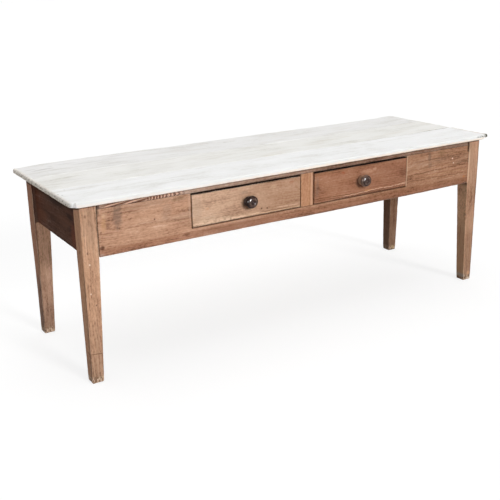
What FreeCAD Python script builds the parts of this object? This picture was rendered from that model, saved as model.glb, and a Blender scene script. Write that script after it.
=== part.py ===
import FreeCAD, Part
import math
import os
import re

import Sketcher

# A long pine prep table: a planked top on four tapered legs, with two drawers in its front.
#
# Millimetres. +X is to the right as seen from the front, +Y to the back and +Z up.
# The origin is on the floor, under the middle of the box that holds the whole table.
# Every piece is a board or a turning of its own, joined as a joiner would: mortise and tenon
# between aprons and legs, a dovetailed rail over the drawers, and dovetailed drawers.

SIZES = [
    # The top: three boards with loose tongues between them
    ("table_height", 770, "floor to the face of the top"),
    ("top_length", 2210, "the boards from end to end"),
    ("top_width", 720, "all the boards, front to back"),
    ("top_thickness", 21, ""),
    ("front_board_width", 248, ""),
    ("back_board_width", 236, ""),
    ("board_gap", 0.5, "shrinkage between two boards"),
    ("top_corner_radius", 20, "corners of the top in plan"),
    ("top_edge_radius", 3, "upper edge of the top"),
    ("tongue_width", 20, ""),
    ("tongue_thickness", 6, ""),
    ("tongue_setback", 60, "from the end of the boards to the tongue"),
    ("tongue_clearance", 0.2, "around the tongue in its groove"),
    # Where the legs stand under the top
    ("end_overhang", 36, ""),
    ("front_overhang", 10, ""),
    ("back_overhang", 72, ""),
    # Legs, tapered on their two inner faces below the aprons
    ("leg_section", 68, "square above the taper"),
    ("foot_section", 50, "square over the bevelled foot"),
    ("leg_edge_radius", 2.5, "worn long edges"),
    ("foot_bevel", 4, ""),
    # Aprons at the ends and the back
    ("end_apron_depth", 203, ""),
    ("apron_thickness", 25, ""),
    ("apron_inset", 12, "behind the outer face of the legs"),
    ("board_edge_radius", 1.5, "worn edges of aprons, rails and drawer fronts"),
    ("tenon_length", 30, ""),
    ("tenon_thickness", 10, ""),
    ("tenon_shoulder", 18, "under the tenon, and over it where it has no haunch"),
    ("haunch_length", 9, ""),
    ("haunch_depth", 28, "from the top of the apron"),
    ("mortise_clearance", 0.2, "beside a tenon"),
    ("mortise_end_gap", 1.5, "past the end of a tenon"),
    # The front frame: two rails, two panels beside the drawers and a divider
    ("front_frame_depth", 215, "from the top board down to the lower edge"),
    ("frame_recess", 1, "behind the front face of the legs"),
    ("frame_tenon_inset", 8, "face of the frame to its tenons"),
    ("top_rail_height", 20, ""),
    ("top_rail_width", 58, ""),
    ("bottom_rail_height", 45, ""),
    ("bottom_rail_width", 40, ""),
    ("bottom_rail_shoulder", 7, ""),
    ("rail_tail_length", 26, "dovetail of the top rail in the leg"),
    ("rail_tail_neck", 26, ""),
    ("rail_tail_flare", 4, "what the dovetail gains on each side"),
    ("panel_thickness", 25, ""),
    ("opening_width", 552, "of one drawer"),
    ("divider_width", 71, ""),
    ("divider_thickness", 28, ""),
    ("stub_length", 9, "short tenons of the divider, runners and kickers"),
    ("stub_thickness", 9, ""),
    ("stub_shoulder", 6, ""),
    # Runners, guides and kickers, from the front frame to the back apron
    ("runner_thickness", 22, ""),
    ("runner_width", 40, "one that carries a single drawer"),
    ("guide_width", 22, "beside the drawer"),
    ("guide_height", 30, ""),
    ("bearer_width", 45, "under the top, beside the drawers"),
    # Stops and glue blocks
    ("stop_length", 34, ""),
    ("stop_depth", 14, ""),
    ("stop_height", 6, ""),
    ("stop_distance", 70, "from the edge of the drawer opening"),
    ("stop_clearance", 0.3, "between stop and drawer front"),
    ("glue_block_side", 24, ""),
    ("glue_block_length", 70, ""),
    # Screws that hold the top down, from below
    ("screw_length", 32, ""),
    ("screw_radius", 2.2, ""),
    ("screw_head_radius", 4.4, ""),
    ("screw_hole_clearance", 0.15, ""),
    ("screw_end_gap", 1, "past the point of the screw"),
    ("screw_edge_distance", 60, "from the joint between two boards"),
    # Drawers, lap dovetailed at the front and through dovetailed at the back
    ("drawer_back_gap", 59, "end of the drawer to the back apron"),
    ("drawer_front_thickness", 22, ""),
    ("drawer_side_thickness", 12, ""),
    ("drawer_back_thickness", 12, ""),
    ("drawer_bottom_thickness", 7, ""),
    ("drawer_side_gap", 3.5, "beside the front, were it in the middle"),
    ("drawer_offset", 2, "both drawers have worn their way to the right"),
    ("drawer_top_gap", 7, ""),
    ("drawer_running_gap", 0.4, "over the runners"),
    ("drawer_front_relief", 1.2, "the front stays clear of the rail"),
    ("drawer_face_recess", 0.8, "behind the face of the frame"),
    ("groove_height", 9, "under the bottom board"),
    ("groove_depth", 5, ""),
    ("groove_clearance", 0.2, ""),
    ("drawer_back_drop", 6, "top of the sides to the top of the back"),
    ("lap_thickness", 6, "wood in front of the dovetails"),
    ("tail_neck", 20, ""),
    ("tail_flare", 2.6, "what a dovetail gains on each side of its neck"),
    ("first_tail_height", 38, "middle of the lowest dovetail"),
    ("last_tail_drop", 27, "top of the side to the middle of the highest dovetail"),
    ("dovetail_clearance", 0.1, ""),
    ("nail_radius", 0.9, ""),
    ("nail_head_radius", 2.4, ""),
    ("nail_head_thickness", 0.8, ""),
    ("nail_length", 22, ""),
    ("nail_clearance", 0.05, ""),
    ("nail_inset", 60, "from the side of the drawer"),
    # Turned knobs
    ("knob_projection", 39, ""),
    ("knob_head_radius", 27, ""),
    ("knob_head_start", 17, "from the drawer to the underside of the head"),
    ("knob_rim_length", 13, "the straight part of the rim"),
    ("knob_rim_radius", 4.5, "its rounded edges"),
    ("knob_face_radius", 22, "the domed face"),
    ("knob_dome_height", 3, ""),
    ("knob_base_radius", 19, ""),
    ("knob_base_length", 5, ""),
    ("knob_neck_radius", 12.5, ""),
    ("knob_neck_start", 8, ""),
    ("knob_spigot_radius", 8, ""),
    ("knob_spigot_relief", 1, "short of the inner face of the drawer front"),
    ("knob_clearance", 0.1, "around the spigot"),
    # One overrun for every cut that leaves the wood
    ("overrun", 5, ""),
]

# Counts
TAIL_COUNT = 3
NAIL_COUNT = 4

doc = FreeCAD.newDocument("prep_table")
sheet = doc.addObject("Spreadsheet::Sheet", "sizes")
for row, (alias, value, meaning) in enumerate(SIZES, 1):
    sheet.set("A%d" % row, alias)
    sheet.set("B%d" % row, str(value))
    sheet.set("C%d" % row, meaning)
    sheet.setAlias("B%d" % row, alias)
doc.recompute()
ALIASES = {alias for alias, value, meaning in SIZES}

# Heights and places worked out from the sizes
LEG_HEIGHT = "(table_height - top_thickness)"
HALF_LENGTH = "(top_length / 2)"
KNOB_BEYOND_TOP = "(knob_projection - front_overhang - frame_recess - drawer_face_recess)"
TOP_FRONT = f"({KNOB_BEYOND_TOP} / 2 - top_width / 2)"
TOP_BACK = f"({TOP_FRONT} + top_width)"
LEG_OUTER = f"({HALF_LENGTH} - end_overhang)"
LEG_FRONT = f"({TOP_FRONT} + front_overhang)"
LEG_BACK = f"({TOP_BACK} - back_overhang)"
FRAME_SPAN = f"(2 * {LEG_OUTER} - 2 * leg_section)"
SIDE_SPAN = f"({LEG_BACK} - {LEG_FRONT} - 2 * leg_section)"
FRAME_FACE = f"({LEG_FRONT} + frame_recess)"
FRAME_BOTTOM = f"({LEG_HEIGHT} - front_frame_depth)"
BACK_APRON_FRONT = f"({LEG_BACK} - apron_inset - apron_thickness)"
RAIL_TOP = f"({FRAME_BOTTOM} + bottom_rail_height)"
OPENING_TOP = f"({LEG_HEIGHT} - top_rail_height)"
OPENING_HEIGHT = f"({OPENING_TOP} - {RAIL_TOP})"
OPENING_INNER = "(divider_width / 2)"
OPENING_OUTER = f"({OPENING_INNER} + opening_width)"
APRON_TENON_INSET = "(apron_inset + apron_thickness / 2 - tenon_thickness / 2)"
DRAWER_WIDTH = "(opening_width - 2 * drawer_side_gap)"
DRAWER_FACE = f"({FRAME_FACE} + drawer_face_recess)"
DRAWER_LENGTH = f"({BACK_APRON_FRONT} - {DRAWER_FACE} - drawer_back_gap)"
DRAWER_BASE = f"({RAIL_TOP} + drawer_running_gap)"
SIDE_HEIGHT = f"({OPENING_HEIGHT} - drawer_top_gap - drawer_running_gap)"
BACK_BOTTOM = "(groove_height + drawer_bottom_thickness + groove_clearance)"
TAIL_PITCH = f"(({SIDE_HEIGHT} - first_tail_height - last_tail_drop) / {TAIL_COUNT - 1})"
OUTER_RUNNER = f"({OPENING_OUTER} + guide_width - runner_width / 2)"
CENTRE_WIDTH = "(divider_width + 2 * runner_width - 2 * guide_width)"
BEARER = f"({OPENING_OUTER} / 2 + {FRAME_SPAN} / 4)"
KNOB_HEIGHT = f"({SIDE_HEIGHT} / 2)"

# Where the cross rails stand: middle and width, from left to right
RUNNERS = (
    ("left", f"-{OUTER_RUNNER}", "runner_width"),
    ("centre", "0", CENTRE_WIDTH),
    ("right", OUTER_RUNNER, "runner_width"),
)
BEARERS = (
    ("left", f"-{BEARER}", "bearer_width"),
    ("right", BEARER, "bearer_width"),
)

# The middle of the screws that hold each board, front to back
FRONT_JOINT = f"({TOP_FRONT} + front_board_width)"
BACK_JOINT = f"({TOP_BACK} - back_board_width)"
SCREW_ROWS = {
    "front": f"({FRONT_JOINT} - screw_edge_distance)",
    "middle": f"({FRONT_JOINT} / 2 + {BACK_JOINT} / 2)",
    "back": f"({BACK_JOINT} + screw_edge_distance)",
}


def bound(text):
    """The text as an expression of the document, its names taken from the sheet."""
    return re.sub(r"[a-z_]+", lambda word: "sizes." + word.group() if word.group() in ALIASES else word.group(), text)


def number(text):
    """What the text comes to with the sizes as they are."""
    return float(sheet.evalExpression(bound(text)))


def flipped(low, high, sign):
    """A range as it is, or mirrored where the sign is negative."""
    if sign > 0:
        return low, high
    return tuple(text if text == "0" else f"-({text})" for text in (high, low))


def place(thing, along_x, along_y, along_z):
    for axis, text in zip("xyz", (along_x, along_y, along_z)):
        thing.setExpression("Placement.Base." + axis, bound(text))


def new_body(label, along_x, along_y, along_z):
    body = doc.addObject("PartDesign::Body", label)
    body.Label = label
    place(body, along_x, along_y, along_z)
    return body


def origin_plane(body, role):
    return next(feature for feature in body.Origin.OriginFeatures if feature.Role == role)


def new_sketch(body, name, role, height):
    """A sketch on one of the body's own planes, lifted by height along the axis that crosses it."""
    sketch = body.newObject("Sketcher::SketchObject", name)
    sketch.AttachmentSupport = [(origin_plane(body, role), "")]
    sketch.MapMode = "FlatFace"
    lift = f"-({height})" if role == "XZ_Plane" else height
    sketch.setExpression("AttachmentOffset.Base.z", bound(lift))
    return sketch


def pin(sketch, geometry, point, along, across):
    """Tie one point of a sketch to its two coordinates."""
    for kind, axis, text in (("DistanceX", -2, along), ("DistanceY", -1, across)):
        if text == "0":
            sketch.addConstraint(Sketcher.Constraint("PointOnObject", geometry, point, axis))
            continue
        tie = Sketcher.Constraint(kind, -1, 1, geometry, point, number(text))
        index = sketch.addConstraint(tie)
        sketch.setExpression("Constraints[%d]" % index, bound(text))


def draw_outline(sketch, points):
    """A closed outline of straight lines through the points."""
    corners = [FreeCAD.Vector(number(along), number(across), 0) for along, across in points]
    for start, end in zip(corners, corners[1:] + corners[:1]):
        sketch.addGeometry(Part.LineSegment(start, end), False)
    for index in range(len(corners)):
        following = (index + 1) % len(corners)
        sketch.addConstraint(Sketcher.Constraint("Coincident", index, 2, following, 1))
    for index, (along, across) in enumerate(points):
        pin(sketch, index, 1, along, across)


def draw_circles(sketch, places, radius):
    for index, (along, across) in enumerate(places):
        centre = FreeCAD.Vector(number(along), number(across), 0)
        sketch.addGeometry(Part.Circle(centre, FreeCAD.Vector(0, 0, 1), number(radius)), False)
        pin(sketch, index, 3, along, across)
        size = sketch.addConstraint(Sketcher.Constraint("Radius", index, number(radius)))
        sketch.setExpression("Constraints[%d]" % size, bound(radius))


def draw_rounded(sketch, along, across, radius):
    """A rectangle over two ranges, its corners rounded."""
    (left, right), (lower, upper) = along, across
    inner_left, inner_right = f"{left} + {radius}", f"{right} - {radius}"
    inner_lower, inner_upper = f"{lower} + {radius}", f"{upper} - {radius}"
    sides = [
        ((inner_left, lower), (inner_right, lower)),
        ((right, inner_lower), (right, inner_upper)),
        ((inner_right, upper), (inner_left, upper)),
        ((left, inner_upper), (left, inner_lower)),
    ]
    centres = [(inner_right, inner_lower), (inner_right, inner_upper),
               (inner_left, inner_upper), (inner_left, inner_lower)]
    for start, end in sides:
        ends = [FreeCAD.Vector(number(point[0]), number(point[1]), 0) for point in (start, end)]
        sketch.addGeometry(Part.LineSegment(*ends), False)
    for index, (middle_along, middle_across) in enumerate(centres):
        middle = FreeCAD.Vector(number(middle_along), number(middle_across), 0)
        circle = Part.Circle(middle, FreeCAD.Vector(0, 0, 1), number(radius))
        turn = math.pi / 2
        sketch.addGeometry(Part.ArcOfCircle(circle, (index - 1) * turn, index * turn), False)
    for index in range(4):
        sketch.addConstraint(Sketcher.Constraint("Coincident", index, 2, index + 4, 1))
        sketch.addConstraint(Sketcher.Constraint("Coincident", index + 4, 2, (index + 1) % 4, 1))
    for index, (start, end) in enumerate(sides):
        pin(sketch, index, 1, *start)
        pin(sketch, index, 2, *end)
        tie = sketch.addConstraint(Sketcher.Constraint("DistanceX", -1, 1, index + 4, 3, number(centres[index][0])))
        sketch.setExpression("Constraints[%d]" % tie, bound(centres[index][0]))


def extrude(body, sketch, low, high, cut):
    """Pad or pocket a sketch from low to high along the axis that crosses it."""
    doc.recompute()
    before = body.Shape.Volume if body.Tip else 0
    kind = "PartDesign::Pocket" if cut else "PartDesign::Pad"
    feature = body.newObject(kind, sketch.Name + ("_cut" if cut else "_pad"))
    feature.Profile = sketch
    feature.setExpression("Length", bound(f"({high}) - ({low})"))
    along_negative_y = sketch.AttachmentSupport[0][0].Role == "XZ_Plane"
    feature.Reversed = along_negative_y != cut
    doc.recompute()
    change = body.Shape.Volume - before
    if (change >= 0) if cut else (change <= 0):
        raise RuntimeError("%s in %s changes nothing" % (feature.Name, body.Label))
    return feature


def prism(body, name, role, points, low, high, cut=False):
    sketch = new_sketch(body, body.Label + "_" + name, role, low)
    draw_outline(sketch, points)
    return extrude(body, sketch, low, high, cut)


def holes(body, name, role, places, radius, low, high):
    sketch = new_sketch(body, body.Label + "_" + name, role, low)
    draw_circles(sketch, places, radius)
    return extrude(body, sketch, low, high, True)


def block(body, name, along_x, along_y, along_z, cut=False):
    """A box added to a body or cut from it, each side a range of two texts."""
    kind = "PartDesign::SubtractiveBox" if cut else "PartDesign::AdditiveBox"
    before = body.Shape.Volume if body.Tip else 0
    box = body.newObject(kind, body.Label + "_" + name)
    place(box, along_x[0], along_y[0], along_z[0])
    for side, (low, high) in zip(("Length", "Width", "Height"), (along_x, along_y, along_z)):
        box.setExpression(side, bound(f"({high}) - ({low})"))
    doc.recompute()
    change = body.Shape.Volume - before
    if (change >= 0) if cut else (change <= 0):
        raise RuntimeError("%s in %s changes nothing" % (box.Name, body.Label))
    return box


def edges_where(body, test):
    """Names of the edges of a body's last feature that pass a test of their box."""
    shape = body.Tip.Shape
    return ["Edge%d" % index for index, edge in enumerate(shape.Edges, 1) if test(edge.BoundBox, edge)]


def dress(body, kind, names, size):
    """Round or bevel edges of the body's last feature."""
    base = body.Tip
    feature = body.newObject("PartDesign::" + kind, body.Label + "_" + kind.lower() + "_" + base.Name)
    feature.Base = (base, names)
    feature.setExpression("Radius" if kind == "Fillet" else "Size", bound(size))
    doc.recompute()
    return feature


def near(value, target):
    return abs(value - target) < 1e-6


# The top


def tongue_groove(body, name, side, board_width):
    """The groove for a loose tongue, in the back edge of a board or in its front edge."""
    half = "(tongue_width / 2 + mortise_end_gap - board_gap / 2)"
    along_y = (f"{board_width} - {half}", f"{board_width} + overrun") if side == "back" else ("-overrun", half)
    reach = f"({HALF_LENGTH} - tongue_setback + tongue_clearance)"
    middle = "(top_thickness / 2)"
    half_height = "(tongue_thickness / 2 + tongue_clearance)"
    block(body, name, (f"-{reach}", reach), along_y, (f"{middle} - {half_height}", f"{middle} + {half_height}"), True)


def top_board(name, start, board_width, outer_sides, grooved_sides):
    """One board of the top, its outer corners rounded in plan and its upper outer edges worn."""
    body = new_body("top_board_" + name, "0", start, LEG_HEIGHT)
    outline = (
        (f"-{HALF_LENGTH}", "0"),
        (HALF_LENGTH, "0"),
        (HALF_LENGTH, board_width),
        (f"-{HALF_LENGTH}", board_width),
    )
    prism(body, "blank", "XY_Plane", outline, "0", "top_thickness")
    thickness = number("top_thickness")
    side_places = {"front": 0, "back": number(board_width)}
    outer_places = [side_places[side] for side in outer_sides]
    if outer_places:
        corners = edges_where(body, lambda box, edge: near(box.ZLength, thickness)
                              and any(near(box.YMin, place) for place in outer_places))
        dress(body, "Fillet", corners, "top_corner_radius")
    inner_places = [side_places[side] for side in ("front", "back") if side not in outer_sides]
    upper = edges_where(body, lambda box, edge: near(box.ZMin, thickness) and near(box.ZMax, thickness)
                        and not any(near(box.YMin, place) and near(box.YMax, place) for place in inner_places))
    dress(body, "Fillet", upper, "top_edge_radius")
    for side in grooved_sides:
        tongue_groove(body, side + "_groove", side, board_width)
    row = f"{SCREW_ROWS[name]} - {start}"
    pilots = [(middle, row) for side, middle, width in RUNNERS + BEARERS]
    depth = "(screw_length - top_rail_height + screw_end_gap)"
    holes(body, "pilots", "XY_Plane", pilots, "screw_radius + screw_hole_clearance", "0", depth)


top_board("front", TOP_FRONT, "(front_board_width - board_gap / 2)", ["front"], ["back"])
MIDDLE_START = f"({FRONT_JOINT} + board_gap / 2)"
top_board("middle", MIDDLE_START, f"({BACK_JOINT} - {FRONT_JOINT} - board_gap)", [], ["front", "back"])
top_board("back", f"({BACK_JOINT} + board_gap / 2)", "(back_board_width - board_gap / 2)", ["back"], ["front"])


def part_box(name, along_x, along_y, along_z):
    box = doc.addObject("Part::Box", name)
    place(box, along_x[0], along_y[0], along_z[0])
    for side, (low, high) in zip(("Length", "Width", "Height"), (along_x, along_y, along_z)):
        box.setExpression(side, bound(f"({high}) - ({low})"))
    return box


def compound(label, members):
    group = doc.addObject("Part::Compound", label)
    group.Label = label
    group.Links = members
    doc.recompute()
    return group


tongues = []
for joint_name, joint in (("front", FRONT_JOINT), ("back", BACK_JOINT)):
    tongue_reach = f"({HALF_LENGTH} - tongue_setback)"
    tongue_middle = f"({LEG_HEIGHT} + top_thickness / 2)"
    tongues.append(part_box(
        "tongue_" + joint_name,
        (f"-{tongue_reach}", tongue_reach),
        (f"{joint} - tongue_width / 2", f"{joint} + tongue_width / 2"),
        (f"{tongue_middle} - tongue_thickness / 2", f"{tongue_middle} + tongue_thickness / 2"),
    ))
compound("top_tongues", tongues)

# Legs


def make_leg(label, side, end):
    """A leg: side is -1 on the left and 1 on the right, end is -1 at the front and 1 at the back.

    Its own origin is its outer corner on the floor, and it grows inward from there.
    """
    inward_x = -side
    inward_y = -end
    outer_y = LEG_FRONT if end < 0 else LEG_BACK
    body = new_body(label, f"{side} * {LEG_OUTER}", outer_y, "0")
    sections = []
    for name, low, high, rise in (("foot", "foot_bevel", "foot_section - foot_bevel", "0"),
                                  ("ankle", "0", "foot_section", "foot_bevel"),
                                  ("shoulder", "0", "leg_section", FRAME_BOTTOM)):
        section = new_sketch(body, label + "_" + name, "XY_Plane", rise)
        draw_rounded(section, flipped(low, high, inward_x), flipped(low, high, inward_y), "leg_edge_radius")
        sections.append(section)
    doc.recompute()
    taper = body.newObject("PartDesign::AdditiveLoft", label + "_taper")
    taper.Profile = sections[0]
    taper.Sections = sections[1:]
    taper.Ruled = True
    doc.recompute()
    extrude(body, sections[-1], FRAME_BOTTOM, LEG_HEIGHT, False)

    # Mortise for the end apron, with its haunch open at the top
    end_bottom = f"({LEG_HEIGHT} - end_apron_depth)"
    across = flipped(f"{APRON_TENON_INSET} - mortise_clearance",
                     f"{APRON_TENON_INSET} + tenon_thickness + mortise_clearance", inward_x)
    deep = flipped("leg_section - tenon_length - mortise_end_gap", "leg_section + overrun", inward_y)
    shallow = flipped("leg_section - haunch_length - mortise_end_gap", "leg_section + overrun", inward_y)
    high = (f"{end_bottom} + tenon_shoulder - mortise_clearance", f"{LEG_HEIGHT} - haunch_depth + mortise_clearance")
    block(body, "end_mortise", across, deep, high, True)
    block(body, "end_haunch", across, shallow, (f"{LEG_HEIGHT} - haunch_depth", f"{LEG_HEIGHT} + overrun"), True)

    if end > 0:
        # Mortise for the back apron
        across = flipped(f"{APRON_TENON_INSET} - mortise_clearance",
                         f"{APRON_TENON_INSET} + tenon_thickness + mortise_clearance", inward_y)
        deep = flipped("leg_section - tenon_length - mortise_end_gap", "leg_section + overrun", inward_x)
        shallow = flipped("leg_section - haunch_length - mortise_end_gap", "leg_section + overrun", inward_x)
        block(body, "back_mortise", deep, across, high, True)
        haunch_rise = (f"{LEG_HEIGHT} - haunch_depth", f"{LEG_HEIGHT} + overrun")
        block(body, "back_haunch", shallow, across, haunch_rise, True)
        return body

    # Mortises for the lower rail and the panel beside the drawers
    tenon_front = "(frame_recess + frame_tenon_inset)"
    across = flipped(f"{tenon_front} - mortise_clearance",
                     f"{tenon_front} + tenon_thickness + mortise_clearance", inward_y)
    deep = flipped("leg_section - tenon_length - mortise_end_gap", "leg_section + overrun", inward_x)
    rail_rise = (f"{FRAME_BOTTOM} + bottom_rail_shoulder - mortise_clearance",
                 f"{RAIL_TOP} - bottom_rail_shoulder + mortise_clearance")
    block(body, "rail_mortise", deep, across, rail_rise, True)
    panel_rise = (f"{RAIL_TOP} + tenon_shoulder - mortise_clearance",
                  f"{OPENING_TOP} - tenon_shoulder + mortise_clearance")
    block(body, "panel_mortise", deep, across, panel_rise, True)

    # Socket for the dovetail of the upper rail
    middle = "(frame_recess + top_rail_width / 2)"
    inner = "(leg_section - rail_tail_length - mortise_clearance)"
    neck = "(rail_tail_neck / 2 + mortise_clearance)"
    tip = f"({neck} + rail_tail_flare)"
    socket = [(inner, f"{middle} - {tip}"), ("leg_section", f"{middle} - {neck}"),
              ("leg_section", f"{middle} + {neck}"), (inner, f"{middle} + {tip}")]
    socket = [(f"{inward_x} * ({along})", f"{inward_y} * ({across})") for along, across in socket]
    prism(body, "rail_socket", "XY_Plane", socket, OPENING_TOP, LEG_HEIGHT, True)
    return body


for leg_name, leg_side, leg_end in (("front_left", -1, -1), ("front_right", 1, -1),
                                    ("back_left", -1, 1), ("back_right", 1, 1)):
    make_leg("leg_" + leg_name, leg_side, leg_end)


# Aprons


def haunched_outline(length):
    """An end or back apron seen from its face: a tenon and a haunch at each end, middle at zero."""
    half = f"({length} / 2)"
    right = [
        (half, "tenon_shoulder"),
        (f"{half} + tenon_length", "tenon_shoulder"),
        (f"{half} + tenon_length", "end_apron_depth - haunch_depth"),
        (f"{half} + haunch_length", "end_apron_depth - haunch_depth"),
        (f"{half} + haunch_length", "end_apron_depth"),
    ]
    return right + [(f"-({along})", rise) for along, rise in reversed(right)]


def worn_lower_edges(body, axis):
    """Round the two long lower edges of an apron."""
    length = "XLength" if axis == "x" else "YLength"
    reach = getattr(body.Tip.Shape.BoundBox, length)
    names = edges_where(body, lambda box, edge: near(box.ZMin, 0) and near(box.ZMax, 0)
                        and getattr(box, length) > reach / 2)
    dress(body, "Fillet", names, "board_edge_radius")


TENON_SKIN = "(apron_thickness / 2 - tenon_thickness / 2)"
for apron_name, apron_side in (("left", -1), ("right", 1)):
    apron = new_body("end_apron_" + apron_name, f"{apron_side} * ({LEG_OUTER} - apron_inset)",
                     f"{LEG_FRONT} / 2 + {LEG_BACK} / 2", f"{LEG_HEIGHT} - end_apron_depth")
    half_span = f"({SIDE_SPAN} / 2)"
    board = flipped("0", "apron_thickness", -apron_side)
    tenon = flipped(TENON_SKIN, f"{TENON_SKIN} + tenon_thickness", -apron_side)
    block(apron, "board", board, (f"-{half_span}", half_span), ("0", "end_apron_depth"))
    worn_lower_edges(apron, "y")
    prism(apron, "tenons", "YZ_Plane", haunched_outline(SIDE_SPAN), tenon[0], tenon[1])

back_apron = new_body("back_apron", "0", BACK_APRON_FRONT, f"{LEG_HEIGHT} - end_apron_depth")
block(back_apron, "board", (f"-{FRAME_SPAN} / 2", f"{FRAME_SPAN} / 2"), ("0", "apron_thickness"),
      ("0", "end_apron_depth"))
worn_lower_edges(back_apron, "x")
prism(back_apron, "tenons", "XZ_Plane", haunched_outline(FRAME_SPAN), TENON_SKIN, f"{TENON_SKIN} + tenon_thickness")


def stub_mortises(body, name, rails, thickness, rise, face, inward):
    """Mortises for the stub tenons of cross rails, from a face of this body inward along Y."""
    low = f"({rise} + {thickness} / 2 - stub_thickness / 2 - mortise_clearance)"
    high = f"({rise} + {thickness} / 2 + stub_thickness / 2 + mortise_clearance)"
    depth = "(stub_length + mortise_end_gap)"
    along_y = (face, f"{face} + {depth}") if inward > 0 else (f"{face} - {depth}", face)
    for side, middle, width in rails:
        half = f"({width} / 2 - stub_shoulder + mortise_clearance)"
        block(body, name + "_" + side, (f"{middle} - {half}", f"{middle} + {half}"), along_y, (low, high), True)


back_floor = f"({LEG_HEIGHT} - end_apron_depth)"
stub_mortises(back_apron, "runner_mortise", RUNNERS, "runner_thickness",
              f"({RAIL_TOP} - runner_thickness - {back_floor})", "0", 1)
stub_mortises(back_apron, "kicker_mortise", RUNNERS, "top_rail_height",
              f"({OPENING_TOP} - {back_floor})", "0", 1)
stub_mortises(back_apron, "bearer_mortise", BEARERS, "top_rail_height", f"({OPENING_TOP} - {back_floor})", "0", 1)

# The front frame


def divider_mortise(body, low, high):
    half = "(divider_width / 2 - stub_shoulder + mortise_clearance)"
    along_y = ("frame_tenon_inset - mortise_clearance", "frame_tenon_inset + stub_thickness + mortise_clearance")
    block(body, "divider_mortise", (f"-{half}", half), along_y, (low, high), True)


top_rail = new_body("front_top_rail", "0", FRAME_FACE, OPENING_TOP)
half_frame = f"({FRAME_SPAN} / 2)"
tail_middle = "(top_rail_width / 2)"
tail_tip = "(rail_tail_neck / 2 + rail_tail_flare)"
right_end = [
    (half_frame, "0"),
    (half_frame, f"{tail_middle} - rail_tail_neck / 2"),
    (f"{half_frame} + rail_tail_length", f"{tail_middle} - {tail_tip}"),
    (f"{half_frame} + rail_tail_length", f"{tail_middle} + {tail_tip}"),
    (half_frame, f"{tail_middle} + rail_tail_neck / 2"),
    (half_frame, "top_rail_width"),
]
prism(top_rail, "board", "XY_Plane", right_end + [(f"-({along})", across) for along, across in reversed(right_end)],
      "0", "top_rail_height")
divider_mortise(top_rail, "-overrun", "stub_length + mortise_end_gap")
stub_mortises(top_rail, "kicker_mortise", RUNNERS, "top_rail_height", "0", "top_rail_width", -1)
stub_mortises(top_rail, "bearer_mortise", BEARERS, "top_rail_height", "0", "top_rail_width", -1)

bottom_rail = new_body("front_bottom_rail", "0", FRAME_FACE, FRAME_BOTTOM)
block(bottom_rail, "board", (f"-{half_frame}", half_frame), ("0", "bottom_rail_width"), ("0", "bottom_rail_height"))
worn_lower_edges(bottom_rail, "x")
block(bottom_rail, "tenons", (f"-{half_frame} - tenon_length", f"{half_frame} + tenon_length"),
      ("frame_tenon_inset", "frame_tenon_inset + tenon_thickness"),
      ("bottom_rail_shoulder", "bottom_rail_height - bottom_rail_shoulder"))
divider_mortise(bottom_rail, "bottom_rail_height - stub_length - mortise_end_gap", "bottom_rail_height + overrun")
stub_mortises(bottom_rail, "runner_mortise", RUNNERS, "runner_thickness",
              "(bottom_rail_height - runner_thickness)", "bottom_rail_width", -1)

for panel_name, panel_side in (("left", -1), ("right", 1)):
    panel = new_body("front_panel_" + panel_name, f"{panel_side} * {half_frame}", FRAME_FACE, RAIL_TOP)
    panel_reach = f"({half_frame} - {OPENING_OUTER})"
    block(panel, "board", flipped("0", panel_reach, -panel_side), ("0", "panel_thickness"), ("0", OPENING_HEIGHT))
    block(panel, "tenon", flipped("-tenon_length", panel_reach, -panel_side),
          ("frame_tenon_inset", "frame_tenon_inset + tenon_thickness"),
          ("tenon_shoulder", f"{OPENING_HEIGHT} - tenon_shoulder"))

divider = new_body("drawer_divider", "0", FRAME_FACE, RAIL_TOP)
half_divider = "(divider_width / 2)"
block(divider, "board", (f"-{half_divider}", half_divider), ("0", "divider_thickness"), ("0", OPENING_HEIGHT))
block(divider, "stubs", (f"stub_shoulder - {half_divider}", f"{half_divider} - stub_shoulder"),
      ("frame_tenon_inset", "frame_tenon_inset + stub_thickness"),
      ("-stub_length", f"{OPENING_HEIGHT} + stub_length"))

# Runners, kickers and bearers


def cross_rail(label, middle, width, start, thickness, rise):
    """A rail from the front frame to the back apron, with a stub tenon at each end."""
    body = new_body(label, middle, start, rise)
    length = f"({BACK_APRON_FRONT} - {start})"
    half = f"({width} / 2)"
    block(body, "board", (f"-{half}", half), ("0", length), ("0", thickness))
    block(body, "stubs", (f"stub_shoulder - {half}", f"{half} - stub_shoulder"),
          ("-stub_length", f"{length} + stub_length"),
          (f"{thickness} / 2 - stub_thickness / 2", f"{thickness} / 2 + stub_thickness / 2"))
    return body


def screwed_rail(label, middle, width):
    """A cross rail under the top, bored and countersunk for a screw into each board."""
    start = f"({FRAME_FACE} + top_rail_width)"
    body = cross_rail(label, middle, width, start, "top_rail_height", OPENING_TOP)
    places = [("0", f"{row} - {start}") for row in SCREW_ROWS.values()]
    holes(body, "screw_holes", "XY_Plane", places, "screw_radius + screw_hole_clearance", "0", "top_rail_height")
    rims = edges_where(body, lambda box, edge: near(box.ZMin, 0) and near(box.ZMax, 0)
                       and edge.Curve.TypeId == "Part::GeomCircle")
    dress(body, "Chamfer", rims, "screw_head_radius - screw_radius")


for rail_name, rail_middle, rail_width in RUNNERS:
    cross_rail("drawer_runner_" + rail_name, rail_middle, rail_width,
               f"({FRAME_FACE} + bottom_rail_width)", "runner_thickness", f"({RAIL_TOP} - runner_thickness)")
    screwed_rail("drawer_kicker_" + rail_name, rail_middle, rail_width)
for rail_name, rail_middle, rail_width in BEARERS:
    screwed_rail("top_bearer_" + rail_name, rail_middle, rail_width)

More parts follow.
